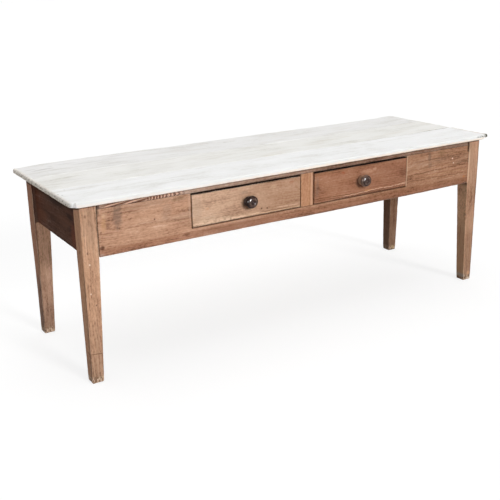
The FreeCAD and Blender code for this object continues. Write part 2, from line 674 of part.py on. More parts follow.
for guide_name, guide_low, guide_high, guide_start in (
        ("left", f"-{OPENING_OUTER} - guide_width", f"-{OPENING_OUTER}", "panel_thickness"),
        ("centre", f"-{half_divider}", half_divider, "divider_thickness"),
        ("right", OPENING_OUTER, f"{OPENING_OUTER} + guide_width", "panel_thickness")):
    guide = new_body("drawer_guide_" + guide_name, "0", FRAME_FACE, RAIL_TOP)
    block(guide, "board", (guide_low, guide_high), (guide_start, f"{BACK_APRON_FRONT} - {FRAME_FACE}"),
          ("0", "guide_height"))

stops = []
for stop_side in (-1, 1):
    for stop_from in (f"{OPENING_INNER} + stop_distance", f"{OPENING_OUTER} - stop_distance - stop_length"):
        stop_start = f"({DRAWER_FACE} + drawer_front_thickness + stop_clearance)"
        stops.append(part_box(
            "stop_%d" % len(stops),
            flipped(stop_from, f"{stop_from} + stop_length", stop_side),
            (stop_start, f"{stop_start} + stop_depth"),
            (RAIL_TOP, f"{RAIL_TOP} + stop_height"),
        ))
compound("drawer_stops", stops)


# Glue blocks: three-cornered lengths of pine in the angle between an apron and the top


def glue_block(corner, across, along):
    """A block at a corner, with one leg along across and its length along along."""
    side = number("glue_block_side")
    half = number("glue_block_length") / 2
    start = corner - along * half
    points = [start, start + across * side, start - FreeCAD.Vector(0, 0, side), start]
    return Part.Face(Part.makePolygon(points)).extrude(along * half * 2)


block_height = number(LEG_HEIGHT)
block_shapes = []
for side in (-1, 1):
    inner_face = side * number(f"{LEG_OUTER} - apron_inset - apron_thickness")
    side_middle = number(f"{LEG_FRONT} / 2 + {LEG_BACK} / 2")
    for step in (-1, 1):
        corner = FreeCAD.Vector(inner_face, side_middle + step * number(f"{SIDE_SPAN} / 4"), block_height)
        block_shapes.append(glue_block(corner, FreeCAD.Vector(-side, 0, 0), FreeCAD.Vector(0, 1, 0)))
    for distance in (f"{OPENING_INNER} + opening_width / 2", f"{BEARER} / 2 + {FRAME_SPAN} / 4"):
        corner = FreeCAD.Vector(side * number(distance), number(BACK_APRON_FRONT), block_height)
        block_shapes.append(glue_block(corner, FreeCAD.Vector(0, -1, 0), FreeCAD.Vector(1, 0, 0)))
glue_blocks = doc.addObject("Part::Feature", "glue_blocks")
glue_blocks.Label = "glue_blocks"
glue_blocks.Shape = Part.makeCompound(block_shapes)


# Screws, from the underside of the kickers and bearers into the boards


def turned(profile, base, axis):
    """A solid turned about an axis: the profile lists distance along it and radius."""
    side = FreeCAD.Vector(1, 0, 0)
    points = [base + axis * along + side * radius for along, radius in profile]
    outline = Part.Face(Part.makePolygon(points + points[:1]))
    return outline.revolve(base, axis, 360)


screw_radius = number("screw_radius")
screw_head = number("screw_head_radius")
screw_profile = [
    (0, 0), (0, screw_head), (screw_head - screw_radius, screw_radius),
    (number("screw_length") - screw_radius, screw_radius), (number("screw_length"), 0),
]
screw_shapes = []
for side, middle, width in RUNNERS + BEARERS:
    for row in SCREW_ROWS.values():
        head = FreeCAD.Vector(number(middle), number(row), number(OPENING_TOP))
        screw_shapes.append(turned(screw_profile, head, FreeCAD.Vector(0, 0, 1)))
screws = doc.addObject("Part::Feature", "top_screws")
screws.Label = "top_screws"
screws.Shape = Part.makeCompound(screw_shapes)


# Drawers. Each piece's own origin is the middle of the drawer's face, at the foot of its sides.


def tail_outline(shoulder, tip, height, clearance):
    """The four corners of one dovetail, as distances from the drawer's face and heights."""
    neck = f"(tail_neck / 2 + {clearance})"
    flare = f"({neck} + tail_flare)"
    return [(shoulder, f"{height} - {neck}"), (tip, f"{height} - {flare}"),
            (tip, f"{height} + {flare}"), (shoulder, f"{height} + {neck}")]


TAIL_HEIGHTS = [f"(first_tail_height + {index} * {TAIL_PITCH})" for index in range(TAIL_COUNT)]


def drawer_side(prefix, name, side, at):
    body = new_body(prefix + "_side_" + name, *at)
    back_shoulder = f"({DRAWER_LENGTH} - drawer_back_thickness)"
    outline = [("drawer_front_thickness", "0"), (DRAWER_LENGTH, "0"), (DRAWER_LENGTH, BACK_BOTTOM),
               (back_shoulder, BACK_BOTTOM)]
    for height in TAIL_HEIGHTS:
        outline += tail_outline(back_shoulder, DRAWER_LENGTH, height, "0")
    outline += [(back_shoulder, SIDE_HEIGHT), ("drawer_front_thickness", SIDE_HEIGHT)]
    for height in reversed(TAIL_HEIGHTS):
        outline += reversed(tail_outline("drawer_front_thickness", "lap_thickness", height, "0"))
    outer = f"({DRAWER_WIDTH} / 2)"
    along_x = flipped(f"{outer} - drawer_side_thickness", outer, side)
    prism(body, "board", "YZ_Plane", outline, along_x[0], along_x[1])
    inner = f"({outer} - drawer_side_thickness)"
    groove = flipped(f"{inner} - overrun", f"{inner} + groove_depth + groove_clearance", side)
    block(body, "groove", groove, ("drawer_front_thickness", f"{DRAWER_LENGTH} + overrun"),
          ("groove_height", BACK_BOTTOM), True)


def drawer_front(prefix, at):
    body = new_body(prefix + "_front", *at)
    half = f"({DRAWER_WIDTH} / 2)"
    block(body, "board", (f"-{half}", half), ("0", "drawer_front_thickness"), ("drawer_front_relief", SIDE_HEIGHT))
    face = edges_where(body, lambda box, edge: near(box.YMin, 0) and near(box.YMax, 0))
    dress(body, "Fillet", face, "board_edge_radius")
    for side, name in ((-1, "left"), (1, "right")):
        along_x = flipped(f"{half} - drawer_side_thickness", half, side)
        for index, height in enumerate(TAIL_HEIGHTS):
            socket = tail_outline("drawer_front_thickness", "lap_thickness - dovetail_clearance", height,
                                  "dovetail_clearance")
            prism(body, "socket_%s_%d" % (name, index), "YZ_Plane", socket, along_x[0], along_x[1], True)
    reach = f"({half} - drawer_side_thickness + groove_depth + groove_clearance)"
    block(body, "groove", (f"-{reach}", reach),
          ("drawer_front_thickness - groove_depth - groove_clearance", "drawer_front_thickness + overrun"),
          ("groove_height", BACK_BOTTOM), True)
    holes(body, "knob_hole", "XZ_Plane", [("0", KNOB_HEIGHT)], "knob_spigot_radius + knob_clearance",
          "0", "drawer_front_thickness")


def nail_places():
    """Where the nails go up through the bottom board, along the drawer's back."""
    reach = f"({DRAWER_WIDTH} - 2 * nail_inset)"
    shares = [index / (NAIL_COUNT - 1) - 0.5 for index in range(NAIL_COUNT)]
    row = f"({DRAWER_LENGTH} - drawer_back_thickness / 2)"
    return [(f"{share} * {reach}", row) for share in shares]


def drawer_back(prefix, at):
    body = new_body(prefix + "_back", *at)
    half = f"({DRAWER_WIDTH} / 2)"
    shoulder = f"({DRAWER_LENGTH} - drawer_back_thickness)"
    block(body, "board", (f"-{half}", half), (shoulder, DRAWER_LENGTH),
          (BACK_BOTTOM, f"{SIDE_HEIGHT} - drawer_back_drop"))
    for side, name in ((-1, "left"), (1, "right")):
        along_x = flipped(f"{half} - drawer_side_thickness", half, side)
        for index, height in enumerate(TAIL_HEIGHTS):
            socket = tail_outline(shoulder, DRAWER_LENGTH, height, "dovetail_clearance")
            prism(body, "socket_%s_%d" % (name, index), "YZ_Plane", socket, along_x[0], along_x[1], True)
    nail_top = "(groove_height + nail_length)"
    holes(body, "nail_holes", "XY_Plane", nail_places(), "nail_radius + nail_clearance", BACK_BOTTOM,
          f"{nail_top} + nail_clearance")


def drawer_bottom(prefix, at):
    body = new_body(prefix + "_bottom", *at)
    half = f"({DRAWER_WIDTH} / 2 - drawer_side_thickness + groove_depth)"
    block(body, "board", (f"-{half}", half), ("drawer_front_thickness - groove_depth", DRAWER_LENGTH),
          ("groove_height", "groove_height + drawer_bottom_thickness"))
    holes(body, "nail_holes", "XY_Plane", nail_places(), "nail_radius + nail_clearance", "groove_height",
          "groove_height + drawer_bottom_thickness")


def drawer_nails(prefix, at):
    profile = [
        (-number("nail_head_thickness"), 0), (-number("nail_head_thickness"), number("nail_head_radius")),
        (0, number("nail_head_radius")), (0, number("nail_radius")),
        (number("nail_length"), number("nail_radius")), (number("nail_length"), 0),
    ]
    origin = FreeCAD.Vector(*[number(text) for text in at])
    shapes = []
    for along, across in nail_places():
        head = origin + FreeCAD.Vector(number(along), number(across), number("groove_height"))
        shapes.append(turned(profile, head, FreeCAD.Vector(0, 0, 1)))
    nails = doc.addObject("Part::Feature", prefix + "_nails")
    nails.Label = prefix + "_nails"
    nails.Shape = Part.makeCompound(shapes)


def drawer_knob(prefix, at):
    """A turned knob: spigot, base ring, neck, wide rim and domed face."""
    along_x, along_y, along_z = at
    body = new_body(prefix + "_knob", along_x, along_y, f"{along_z} + {KNOB_HEIGHT}")
    sketch = new_sketch(body, prefix + "_knob_profile", "YZ_Plane", "0")
    dome_start = "(knob_projection - knob_dome_height)"
    rim_end = "(knob_head_start + knob_rim_length)"
    profile = [
        ("drawer_front_thickness - knob_spigot_relief", "0"),
        ("drawer_front_thickness - knob_spigot_relief", "knob_spigot_radius"),
        ("0", "knob_spigot_radius"),
        ("0", "knob_base_radius"),
        ("-knob_base_length", "knob_base_radius"),
        ("-knob_neck_start", "knob_neck_radius"),
        ("-knob_head_start", "knob_neck_radius"),
        ("-knob_head_start", "knob_head_radius"),
        (f"-{rim_end}", "knob_head_radius"),
        (f"-{dome_start}", "knob_face_radius"),
        ("-knob_projection", "0"),
    ]
    corners = [FreeCAD.Vector(number(along), number(radius), 0) for along, radius in profile]
    for start, end in zip(corners[:-2], corners[1:-1]):
        sketch.addGeometry(Part.LineSegment(start, end), False)
    rise = number("knob_dome_height")
    face = number("knob_face_radius")
    sphere = (face * face + rise * rise) / (2 * rise)
    centre = FreeCAD.Vector(sphere - number("knob_projection"), 0, 0)
    bulge = corners[-2] / 2 + corners[-1] / 2 - centre
    crest = centre + bulge * (sphere / bulge.Length)
    sketch.addGeometry(Part.Arc(corners[-2], crest, corners[-1]), False)
    sketch.addGeometry(Part.LineSegment(corners[-1], corners[0]), False)
    doc.recompute()
    arc = len(corners) - 2
    arc_start, arc_end = 1, 2
    if (sketch.getPoint(arc, 1) - corners[-2]).Length > (sketch.getPoint(arc, 2) - corners[-2]).Length:
        arc_start, arc_end = 2, 1
    for index in range(arc - 1):
        sketch.addConstraint(Sketcher.Constraint("Coincident", index, 2, index + 1, 1))
    sketch.addConstraint(Sketcher.Constraint("Coincident", arc - 1, 2, arc, arc_start))
    sketch.addConstraint(Sketcher.Constraint("Coincident", arc, arc_end, arc + 1, 1))
    sketch.addConstraint(Sketcher.Constraint("Coincident", arc + 1, 2, 0, 1))
    for index, (along, radius) in enumerate(profile[:-2]):
        pin(sketch, index, 1, along, radius)
    pin(sketch, arc, arc_start, *profile[-2])
    pin(sketch, arc + 1, 1, *profile[-1])
    sketch.addConstraint(Sketcher.Constraint("PointOnObject", arc, 3, -1))
    turning = body.newObject("PartDesign::Revolution", prefix + "_knob_turning")
    turning.Profile = sketch
    turning.ReferenceAxis = (sketch, ["H_Axis"])
    turning.Angle = 360
    doc.recompute()
    rim = number("knob_head_radius")
    edges = edges_where(body, lambda box, edge: near(box.ZLength, 2 * rim) and near(box.YLength, 0))
    dress(body, "Fillet", edges, "knob_rim_radius")


def make_drawer(name, side):
    prefix = "drawer_" + name
    middle = f"({side} * ({OPENING_INNER} + opening_width / 2) + drawer_offset)"
    at = (middle, DRAWER_FACE, DRAWER_BASE)
    drawer_front(prefix, at)
    drawer_side(prefix, "left", -1, at)
    drawer_side(prefix, "right", 1, at)
    drawer_back(prefix, at)
    drawer_bottom(prefix, at)
    drawer_nails(prefix, at)
    drawer_knob(prefix, at)


make_drawer("left", -1)
make_drawer("right", 1)

# Check every object, then write each piece
doc.recompute()
for thing in doc.Objects:
    if "Invalid" in thing.State or "Error" in thing.State:
        raise RuntimeError("%s did not compute: %s" % (thing.Name, thing.State))
inner_parts = {member.Name for group in doc.Objects if group.TypeId == "Part::Compound" for member in group.Links}
pieces = [thing for thing in doc.Objects
          if thing.TypeId in ("PartDesign::Body", "Part::Compound", "Part::Feature") and thing.Name not in inner_parts]
os.makedirs("parts", exist_ok=True)
for piece in pieces:
    if piece.Shape.isNull() or not piece.Shape.isValid() or not piece.Shape.Solids:
        raise RuntimeError(piece.Label + " has no sound shape")
    piece.Shape.exportStep(os.path.join("parts", piece.Label + ".step"))
    print("%-32s %2d solids %12.0f mm3" % (piece.Label, len(piece.Shape.Solids), piece.Shape.Volume))
print(len(pieces), "pieces")
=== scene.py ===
import math
import bmesh
import bpy
from mathutils import Matrix, Vector, noise


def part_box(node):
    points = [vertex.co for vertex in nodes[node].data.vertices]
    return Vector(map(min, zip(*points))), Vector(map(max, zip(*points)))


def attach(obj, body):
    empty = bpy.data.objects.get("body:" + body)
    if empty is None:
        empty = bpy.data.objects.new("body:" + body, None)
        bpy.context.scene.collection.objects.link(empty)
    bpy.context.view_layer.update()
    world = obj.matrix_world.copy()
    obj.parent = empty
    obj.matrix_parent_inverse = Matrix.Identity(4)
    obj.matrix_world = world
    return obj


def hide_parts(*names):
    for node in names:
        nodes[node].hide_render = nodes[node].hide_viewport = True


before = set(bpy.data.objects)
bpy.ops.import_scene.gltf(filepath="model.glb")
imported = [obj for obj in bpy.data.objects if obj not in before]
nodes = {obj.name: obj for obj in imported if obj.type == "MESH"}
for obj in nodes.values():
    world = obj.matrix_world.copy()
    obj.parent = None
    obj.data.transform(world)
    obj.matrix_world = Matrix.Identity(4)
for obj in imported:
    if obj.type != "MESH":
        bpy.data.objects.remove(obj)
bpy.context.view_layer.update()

# Old pine: each wood is solid, so rings, fibre, dirt and marks come from the place in the table, in metres
MM = 0.001


def box(node):
    """A node's lowest and highest corner at rest, in mm."""
    return [[round(level / MM, 2) for level in corner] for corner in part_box(node)]


def sides(node, axis):
    """A node's two faces across an axis, in metres."""
    return [corner["xyz".index(axis)] * MM for corner in box(node)]


LEG_INNER, LEG_OUTER = sides("leg_front_right", "x")
RAIL_FOOT, OPENING_FOOT = sides("front_bottom_rail", "z")
OPENING_TOP, UNDERSIDE = sides("front_top_rail", "z")
PANEL_EDGE = sides("front_panel_right", "x")[0]
DIVIDER_EDGE = sides("drawer_divider", "x")[1]
RIGHT_DRAWER_EDGE = sides("drawer_right_front", "x")[0]
DRAWER_FOOT, DRAWER_TOP = sides("drawer_left_front", "z")
DRAWER_FACE, LEG_FRONT = sides("drawer_left_front", "y")[0], sides("leg_front_left", "y")[0]
FRONT_EDGE = sides("top_board_front", "y")[0]
TOP_END, SURFACE = sides("top_board_front", "x")[1], sides("top_board_front", "z")[1]
BACK_LEG_FRONT, APRON_FOOT = sides("leg_back_left", "y")[0], sides("end_apron_left", "z")[0]
TAPER = 0.018


def srgb(red, green, blue):
    """A screen colour as the shader's own."""
    def linear(level):
        level = min(max(level, 0), 255) / 255
        return level / 12.92 if level <= 0.04045 else ((level + 0.055) / 1.055) ** 2.4
    return (linear(red), linear(green), linear(blue), 1)


class Value:
    """A node's output that can be reckoned with."""

    def __init__(self, paint, socket):
        self.paint, self.socket = paint, socket

    def math(self, operation, other=0):
        return self.paint.math(operation, self, other)

    def __add__(self, other):
        return self.math("ADD", other)

    def __sub__(self, other):
        return self.math("SUBTRACT", other)

    def __rsub__(self, other):
        return self.paint.math("SUBTRACT", other, self)

    def __mul__(self, other):
        return self.math("MULTIPLY", other)

    def __truediv__(self, other):
        return self.math("DIVIDE", other)

    def __abs__(self):
        return self.math("ABSOLUTE")

    def step(self, low, high):
        """0 up to low and 1 from high on."""
        inputs = {"Value": self, "From Min": low, "From Max": high}
        node = self.paint.node("ShaderNodeMapRange", inputs, interpolation_type="SMOOTHSTEP")
        return Value(self.paint, node.outputs["Result"])

    def drop(self, low, high):
        """1 up to low and 0 from high on."""
        return 1 - self.step(low, high)

    def past(self, place, low, high):
        """A step whose ends are in mm from a place."""
        return self.step(place + low * MM, place + high * MM)

    def before(self, place, low, high):
        """A drop whose ends are in mm from a place."""
        return 1 - self.past(place, low, high)

    def band(self, low, high, edge):
        """1 between low and high, falling to 0 over an edge at each side."""
        return self.step(low - edge, low + edge) * self.drop(high - edge, high + edge)

    def line(self, place, half):
        """1 on a line at a place, 0 from a half width away."""
        return abs(self - place).drop(0, half)


class Paint:
    """A material under construction. Colours are given as a screen shows them, and each is laid on the
    colour so far."""

    def __init__(self, name):
        self.material = bpy.data.materials.new(name)
        self.material.use_nodes = True
        self.tree = self.material.node_tree
        self.tree.nodes.clear()
        output = self.node("ShaderNodeOutputMaterial")
        self.shader = self.node("ShaderNodeBsdfPrincipled")
        self.tree.links.new(self.shader.outputs[0], output.inputs[0])
        split = self.node("ShaderNodeSeparateXYZ")
        self.tree.links.new(self.node("ShaderNodeTexCoord").outputs["Object"], split.inputs[0])
        self.x, self.y, self.z = (Value(self, socket) for socket in split.outputs)
        self.colour = None

    def node(self, kind, inputs=None, **settings):
        """A new node with its settings, and what its inputs get."""
        node = self.tree.nodes.new(kind)
        for name, setting in settings.items():
            setattr(node, name, setting)
        for name, value in (inputs or {}).items():
            self.feed(node.inputs[name], value)
        return node

    def feed(self, socket, value):
        """Gives a socket a node's output, a number or a screen colour."""
        if isinstance(value, Value):
            self.tree.links.new(value.socket, socket)
        else:
            socket.default_value = srgb(*value) if isinstance(value, tuple) else value

    def math(self, operation, first, second):
        return Value(self, self.node("ShaderNodeMath", {0: first, 1: second}, operation=operation).outputs[0])

    def vector(self, x, y, z):
        return Value(self, self.node("ShaderNodeCombineXYZ", {0: x, 1: y, 2: z}).outputs[0])

    def noise(self, place, detail=3, roughness=0.5):
        """Noise about 0, mostly within 0.2, at scale 1 of the place given."""
        inputs = {"Vector": place, "Scale": 1, "Detail": detail, "Roughness": roughness}
        return Value(self, self.node("ShaderNodeTexNoise", inputs).outputs["Fac"]) - 0.5

    def cloud(self, x, y, z, detail=3):
        """Noise with so many waves to a metre along each axis."""
        return self.noise(self.vector(self.x * x, self.y * y, self.z * z), detail, 0.6)

    def dots(self, scale, size, share):
        """1 in round dots, so many to a metre. size is a dot's part of its cell, and share tells how many of
        the cells have one."""
        place = self.vector(self.x * scale, self.y * scale, self.z * scale)
        cells = self.node("ShaderNodeTexVoronoi", {"Vector": place, "Scale": 1})
        split = self.node("ShaderNodeSeparateColor")
        self.tree.links.new(cells.outputs["Color"], split.inputs[0])
        near = Value(self, cells.outputs["Distance"]).drop(size * 0.5, size)
        return near * Value(self, split.outputs[0]).step(1 - share, 1.01 - share)

    def attribute(self, name):
        """A value kept on the mesh's own points."""
        return Value(self, self.node("ShaderNodeAttribute", attribute_name=name).outputs["Fac"])

    def ramp(self, value, stops):
        """Colours that follow a value."""
        node = self.node("ShaderNodeValToRGB", {0: value})
        marks = node.color_ramp.elements
        while len(marks) < len(stops):
            marks.new(0.5)
        for mark, (place, *colour) in zip(marks, stops):
            mark.position, mark.color = place, srgb(*colour)
        return Value(self, node.outputs[0])

    def mix(self, share, first, second, blend="MIX"):
        node = self.node("ShaderNodeMix", data_type="RGBA", blend_type=blend)
        sockets = [socket for socket in node.inputs if socket.enabled]
        for socket, value in zip(sockets, (share, first, second)):
            self.feed(socket, value)
        return Value(self, next(socket for socket in node.outputs if socket.enabled))

    def lay(self, share, colour, blend="MIX"):
        """Lays a colour, or another output, on the colour so far."""
        self.colour = self.mix(share, self.colour, colour, blend)

    def spots(self, table, axes="xz"):
        """Soft ragged marks: place and half size along two axes in mm, strength and colour."""
        rag = self.cloud(90, 90, 90) * 1.6
        first, second = (getattr(self, axis) for axis in axes)
        for across, up, wide, tall, share, *tint in table:
            u = (first - across * MM) / (wide * MM)
            v = (second - up * MM) / (tall * MM)
            self.lay((u * u + v * v + rag).drop(0, 1) * share, tuple(tint))

    def threads(self, table):
        """Wavy broken lines along x: height, half width, rise and both ends in mm, strength and colour."""
        waver = self.cloud(24, 0, 6) * 0.014
        broken = self.cloud(75, 0, 40).step(-0.16, 0)
        for up, half, rise, left, right, share, *tint in table:
            height = self.z + waver - (self.x - left * MM) * (rise / (right - left))
            mark = height.line(up * MM, half * MM) * self.x.band(left * MM, right * MM, 0.015)
            self.lay(mark * broken * share, tuple(tint))

    def finish(self, roughness, height, depth=0.0006, specular=0.04):
        """The material, with bumps that rise by the depth, in metres, for each 1 of the height."""
        self.feed(self.shader.inputs["Base Color"], self.colour)
        self.feed(self.shader.inputs["Roughness"], roughness)
        self.shader.inputs["Specular IOR Level"].default_value = specular
        bump = self.node("ShaderNodeBump", {"Strength": 1, "Distance": depth, "Height": height})
        self.tree.links.new(bump.outputs[0], self.shader.inputs["Normal"])
        return self.material


class Wood:
    """Figure of a board. grain is the axis that it runs along. pith is the place of the tree's middle
    across it, in mm, in the order of the other two axes, and slope turns the rings from the board's run.
    spacing is the width of a year's ring and wander how far the rings stray, both in mm."""

    def __init__(self, paint, grain, pith, slope=(0, 0), spacing=4, wander=12, seed=0):
        axes = {"x": paint.x, "y": paint.y, "z": paint.z}
        along = axes.pop(grain)
        first, second = axes.values()
        shifted = along + seed
        bend = paint.noise(paint.vector(shifted * 1.7, first * 5, second * 5), 2)
        sway = paint.noise(paint.vector(shifted * 3.1, first * 7, second * 7), 2)
        across = first - pith[0] * MM + along * slope[0] + bend * (2 * wander * MM)
        upward = second - pith[1] * MM + along * slope[1] + sway * (2 * wander * MM)
        years = (across * across + upward * upward).math("SQRT") / (spacing * MM)
        uneven = paint.noise(paint.vector(years * 0.22, 0, seed), 1)
        part = (years + uneven * 3).math("FRACT")
        late = part.step(0.2, 0.85) * part.drop(0.87, 1)  # dark wood of the late summer

        def figure(run, width, detail=3, roughness=0.6, shift=0):
            place = paint.vector(shifted * run + shift, first * width, second * width)
            return paint.noise(place, detail, roughness)

        self.fibre = figure(24, 1100, 2)
        self.streaks = figure(9, 200)
        self.mottle = figure(75, 150)
        self.bands = figure(2.2, 46, 3, 0.55)
        self.blotches = figure(5, 10)
        self.patches = figure(3.5, 13, 2, 0.5, 7)
        self.late = late * self.patches.step(-0.16, 0.12)


def palette(mean):
    """Dirt, worn brown, the wood's own colour, pale wood and bare wood."""
    red, green, blue = mean
    return [(0, red * 0.46, green * 0.42, blue * 0.4), (0.28, red * 0.86, green * 0.83, blue * 0.82),
            (0.5, *mean), (0.72, red + 11, green + 13, blue + 14), (1, red + 30, green + 38, blue + 42)]


def old_pine(name, grain, pith, mean, slope, spacing, wander, seed, tone=1, second=None,
             span=(-0.75, 0.75), marks=None, gloss=0.04):
    """Old pine of a mean colour, with worn edges pale and hollows dark. tone tells how strong the figure is.
    second is the colour at the right end of a span, towards which the colour changes along the front."""
    paint = Paint(name)
    wood = Wood(paint, grain, pith, slope, spacing, wander, seed)
    level = wood.streaks * (0.7 * tone) + wood.bands * (0.45 * tone) + wood.blotches * (0.75 * tone)
    level = level + wood.mottle * (0.75 * tone) + wood.fibre * 0.35 - wood.late * 0.2 + 0.55
    paint.colour = paint.ramp(level, palette(mean))
    if second:
        paint.lay(paint.x.step(*span), paint.ramp(level, palette(second)))
    red, green, blue = mean
    dark = (red * 0.4, green * 0.34, blue * 0.32)
    bare = (min(red + 38, 240), min(green + 50, 216), min(blue + 52, 190))
    grey = (wood.patches + wood.streaks * 0.5).step(0.03, 0.24)
    paint.lay(grey * 0.35, (red * 0.8, green * 0.86, blue * 0.9))
    pores = paint.dots(130, 0.24, 0.26)
    holes = paint.dots(31, 0.055, 0.22)
    paint.lay(pores * 0.4, dark)
    paint.lay(holes * 0.85, dark)
    if marks:
        marks(paint, wood)
    paint.lay((paint.attribute("wear") + wood.streaks * 1.3 + wood.blotches * 0.8).step(0.35, 0.95), bare)
    paint.lay((paint.attribute("grime") + wood.streaks * 0.8).step(0.25, 0.85) * 0.9, dark)
    roughness = wood.streaks * 0.5 + wood.blotches * 0.3 + 0.62
    height = wood.fibre * 0.8 + wood.late * 0.25 + wood.streaks * 0.7 - pores * 0.4 - holes * 1.6
    return paint.finish(roughness, height, specular=gloss)


# Marks, each where the photo has it, as Paint's spots and threads take them

FRAME_SPOTS = (
    # the first mark on the next line is painted shade on the left panel just under the top rail
    (-800, 716, 190, 15, 0.35, 140, 104, 82), (-380, 552, 280, 24, 0.4, 132, 92, 72),
    (-915, 690, 26, 66, 0.5, 104, 88, 80), (-700, 668, 30, 46, 0.24, 116, 96, 84),
    (-957, 657, 10, 18, 0.45, 98, 60, 44), (-987, 570, 13, 11, 0.8, 84, 46, 32),
    (-612, 558, 21, 11, 0.6, 96, 54, 38), (-640, 716, 42, 13, 0.5, 122, 96, 70),
    (-908, 638, 6, 7, 0.6, 76, 50, 40), (-755, 648, 5, 5, 0.75, 66, 42, 30), (-988, 634, 6, 7, 0.5, 88, 56, 40),
    (734, 704, 15, 28, 0.5, 100, 82, 70), (-975, 664, 15, 40, 0.35, 206, 158, 108),
    (738, 664, 17, 24, 0.32, 94, 78, 68), (-988, 541, 14, 8, 0.6, 176, 150, 136),
    (815, 715, 30, 16, 0.3, 120, 96, 64), (975, 573, 12, 9, 0.5, 196, 120, 72),
    # the first mark on the next line is painted shade at the lower rail's foot beside the right leg
    (982, 536, 26, 5, 0.8, 70, 42, 32), (888, 677, 5, 6, 0.9, 240, 214, 192),
    (896, 653, 5, 6, 0.9, 236, 208, 186), (994, 718, 7, 34, 0.9, 64, 46, 32),
    (-996, 724, 8, 28, 0.6, 74, 60, 54), (-973, 700, 9, 12, 0.4, 232, 196, 160))
FRAME_THREADS = (
    (700, 3, 0, -900, -600, 0.35, 116, 76, 56), (640, 3, 0, -860, -600, 0.3, 232, 200, 176),
    (628, 5, 9, 596, 960, 0.75, 98, 60, 42), (600, 5, -8, 612, 990, 0.6, 104, 64, 44),
    (652, 4, 6, 640, 990, 0.5, 108, 68, 48), (688, 4, 3, 620, 900, 0.45, 108, 72, 54),
    (612, 3, -2, 700, 960, 0.35, 206, 158, 122), (560, 3, 0, -540, 540, 0.35, 112, 70, 50),
    (583, 3, 0, 610, 985, 0.35, 110, 70, 50))
LEFT_DRAWER_SPOTS = (
    (-560, 655, 34, 60, 0.24, 150, 130, 112), (-510, 650, 10, 8, 0.25, 206, 140, 96),
    (-84, 700, 16, 10, 0.35, 168, 104, 76), (-330, 692, 26, 10, 0.3, 140, 122, 106),
    (-242, 608, 5, 5, 0.8, 66, 44, 32), (-214, 605, 5, 5, 0.8, 66, 44, 32),
    # the last four marks, from the end of the next line on, are hand dirt round the knob together with a
    # painted shadow of its head
    (-181, 695, 24, 12, 0.35, 220, 188, 156), (-309, 648, 54, 46, 0.28, 120, 84, 60),
    (-322, 650, 27, 25, 0.6, 104, 78, 56), (-312, 653, 22, 22, 0.65, 60, 38, 25),
    (-316, 642, 34, 32, 0.3, 104, 74, 52))
LEFT_DRAWER_THREADS = (
    (593, 9, -3, -575, -330, 0.6, 240, 208, 176), (602, 5, -2, -560, -400, 0.45, 236, 204, 174),
    (586, 3.4, 6, -440, -250, 0.75, 240, 206, 174), (598, 5, 0, -160, -50, 0.55, 226, 192, 164),
    (587, 6, -3, -270, -40, 0.5, 226, 188, 154), (593, 4, -4, -250, -90, 0.6, 112, 74, 52),
    (619, 5, 3, -420, -270, 0.35, 128, 92, 68))
RIGHT_DRAWER_SPOTS = (
    (57, 650, 12, 66, 0.32, 120, 104, 92), (62, 650, 12, 12, 0.4, 84, 54, 40),
    (202, 701, 14, 9, 0.45, 170, 88, 60), (345, 688, 50, 15, 0.42, 208, 162, 130),
    (389, 695, 16, 8, 0.4, 212, 168, 138), (560, 650, 24, 36, 0.3, 110, 70, 50),
    # the last three marks, from the end of the next line on, are hand dirt round the knob together with a
    # painted shadow of its head
    (351, 597, 24, 5, 0.5, 198, 150, 92), (313, 648, 54, 46, 0.28, 100, 62, 44),
    (304, 654, 25, 23, 0.6, 74, 47, 31), (306, 642, 34, 32, 0.4, 92, 62, 44))
RIGHT_DRAWER_THREADS = (
    (601, 4, -4, 45, 200, 0.65, 92, 54, 34), (592, 4, -4, 45, 230, 0.65, 92, 54, 34),
    (596, 4, -1, 200, 330, 0.7, 96, 58, 38), (587, 5, 7, 206, 590, 0.55, 104, 64, 44),
    (591, 3.2, 6, 206, 590, 0.85, 226, 184, 154), (584, 3, 0, 206, 590, 0.6, 92, 54, 36),
    (599, 3, 5, 540, 590, 0.6, 226, 186, 156))
LEFT_LEG_SPOTS = (
    (-1044, 512, 4, 5, 0.8, 238, 214, 190), (-1048, 390, 4, 5, 0.9, 242, 220, 196),
    (-1028, 339, 5, 6, 0.7, 80, 54, 40), (-1050, 560, 5, 8, 0.75, 84, 52, 38),
    (-1048, 709, 5, 9, 0.6, 96, 62, 46), (-1053, 602, 4, 80, 0.5, 222, 184, 156),
    (-1059, 27, 6, 9, 0.5, 90, 66, 50))
RIGHT_LEG_SPOTS = (
    (1019, 27, 8, 14, 0.85, 214, 198, 182), (1052, 38, 15, 13, 0.65, 210, 160, 126),
    (1052, 8, 20, 10, 0.85, 212, 192, 172), (1034, 16, 6, 10, 0.7, 66, 44, 32),
    (1048, 340, 26, 110, 0.4, 208, 164, 134))
BACK_LEG_SPOTS = (
    (1048, 16, 20, 16, 0.6, 168, 142, 104), (1045, 3, 26, 6, 0.6, 84, 66, 52),
    # painted shade on a strip at the right of the back right leg's front
    (1068, 430, 18, 200, 0.65, 74, 62, 56))
APRON_SPOTS = (
    (-120, 636, 100, 34, 0.6, 106, 72, 56), (70, 655, 90, 26, 0.5, 98, 66, 52),
    (-215, 600, 34, 60, 0.5, 120, 66, 44), (150, 602, 70, 34, 0.5, 106, 66, 46),
    (-30, 700, 120, 22, 0.7, 40, 25, 21), (-190, 676, 50, 18, 0.6, 38, 25, 21),
    (20, 615, 60, 16, 0.45, 50, 30, 24))
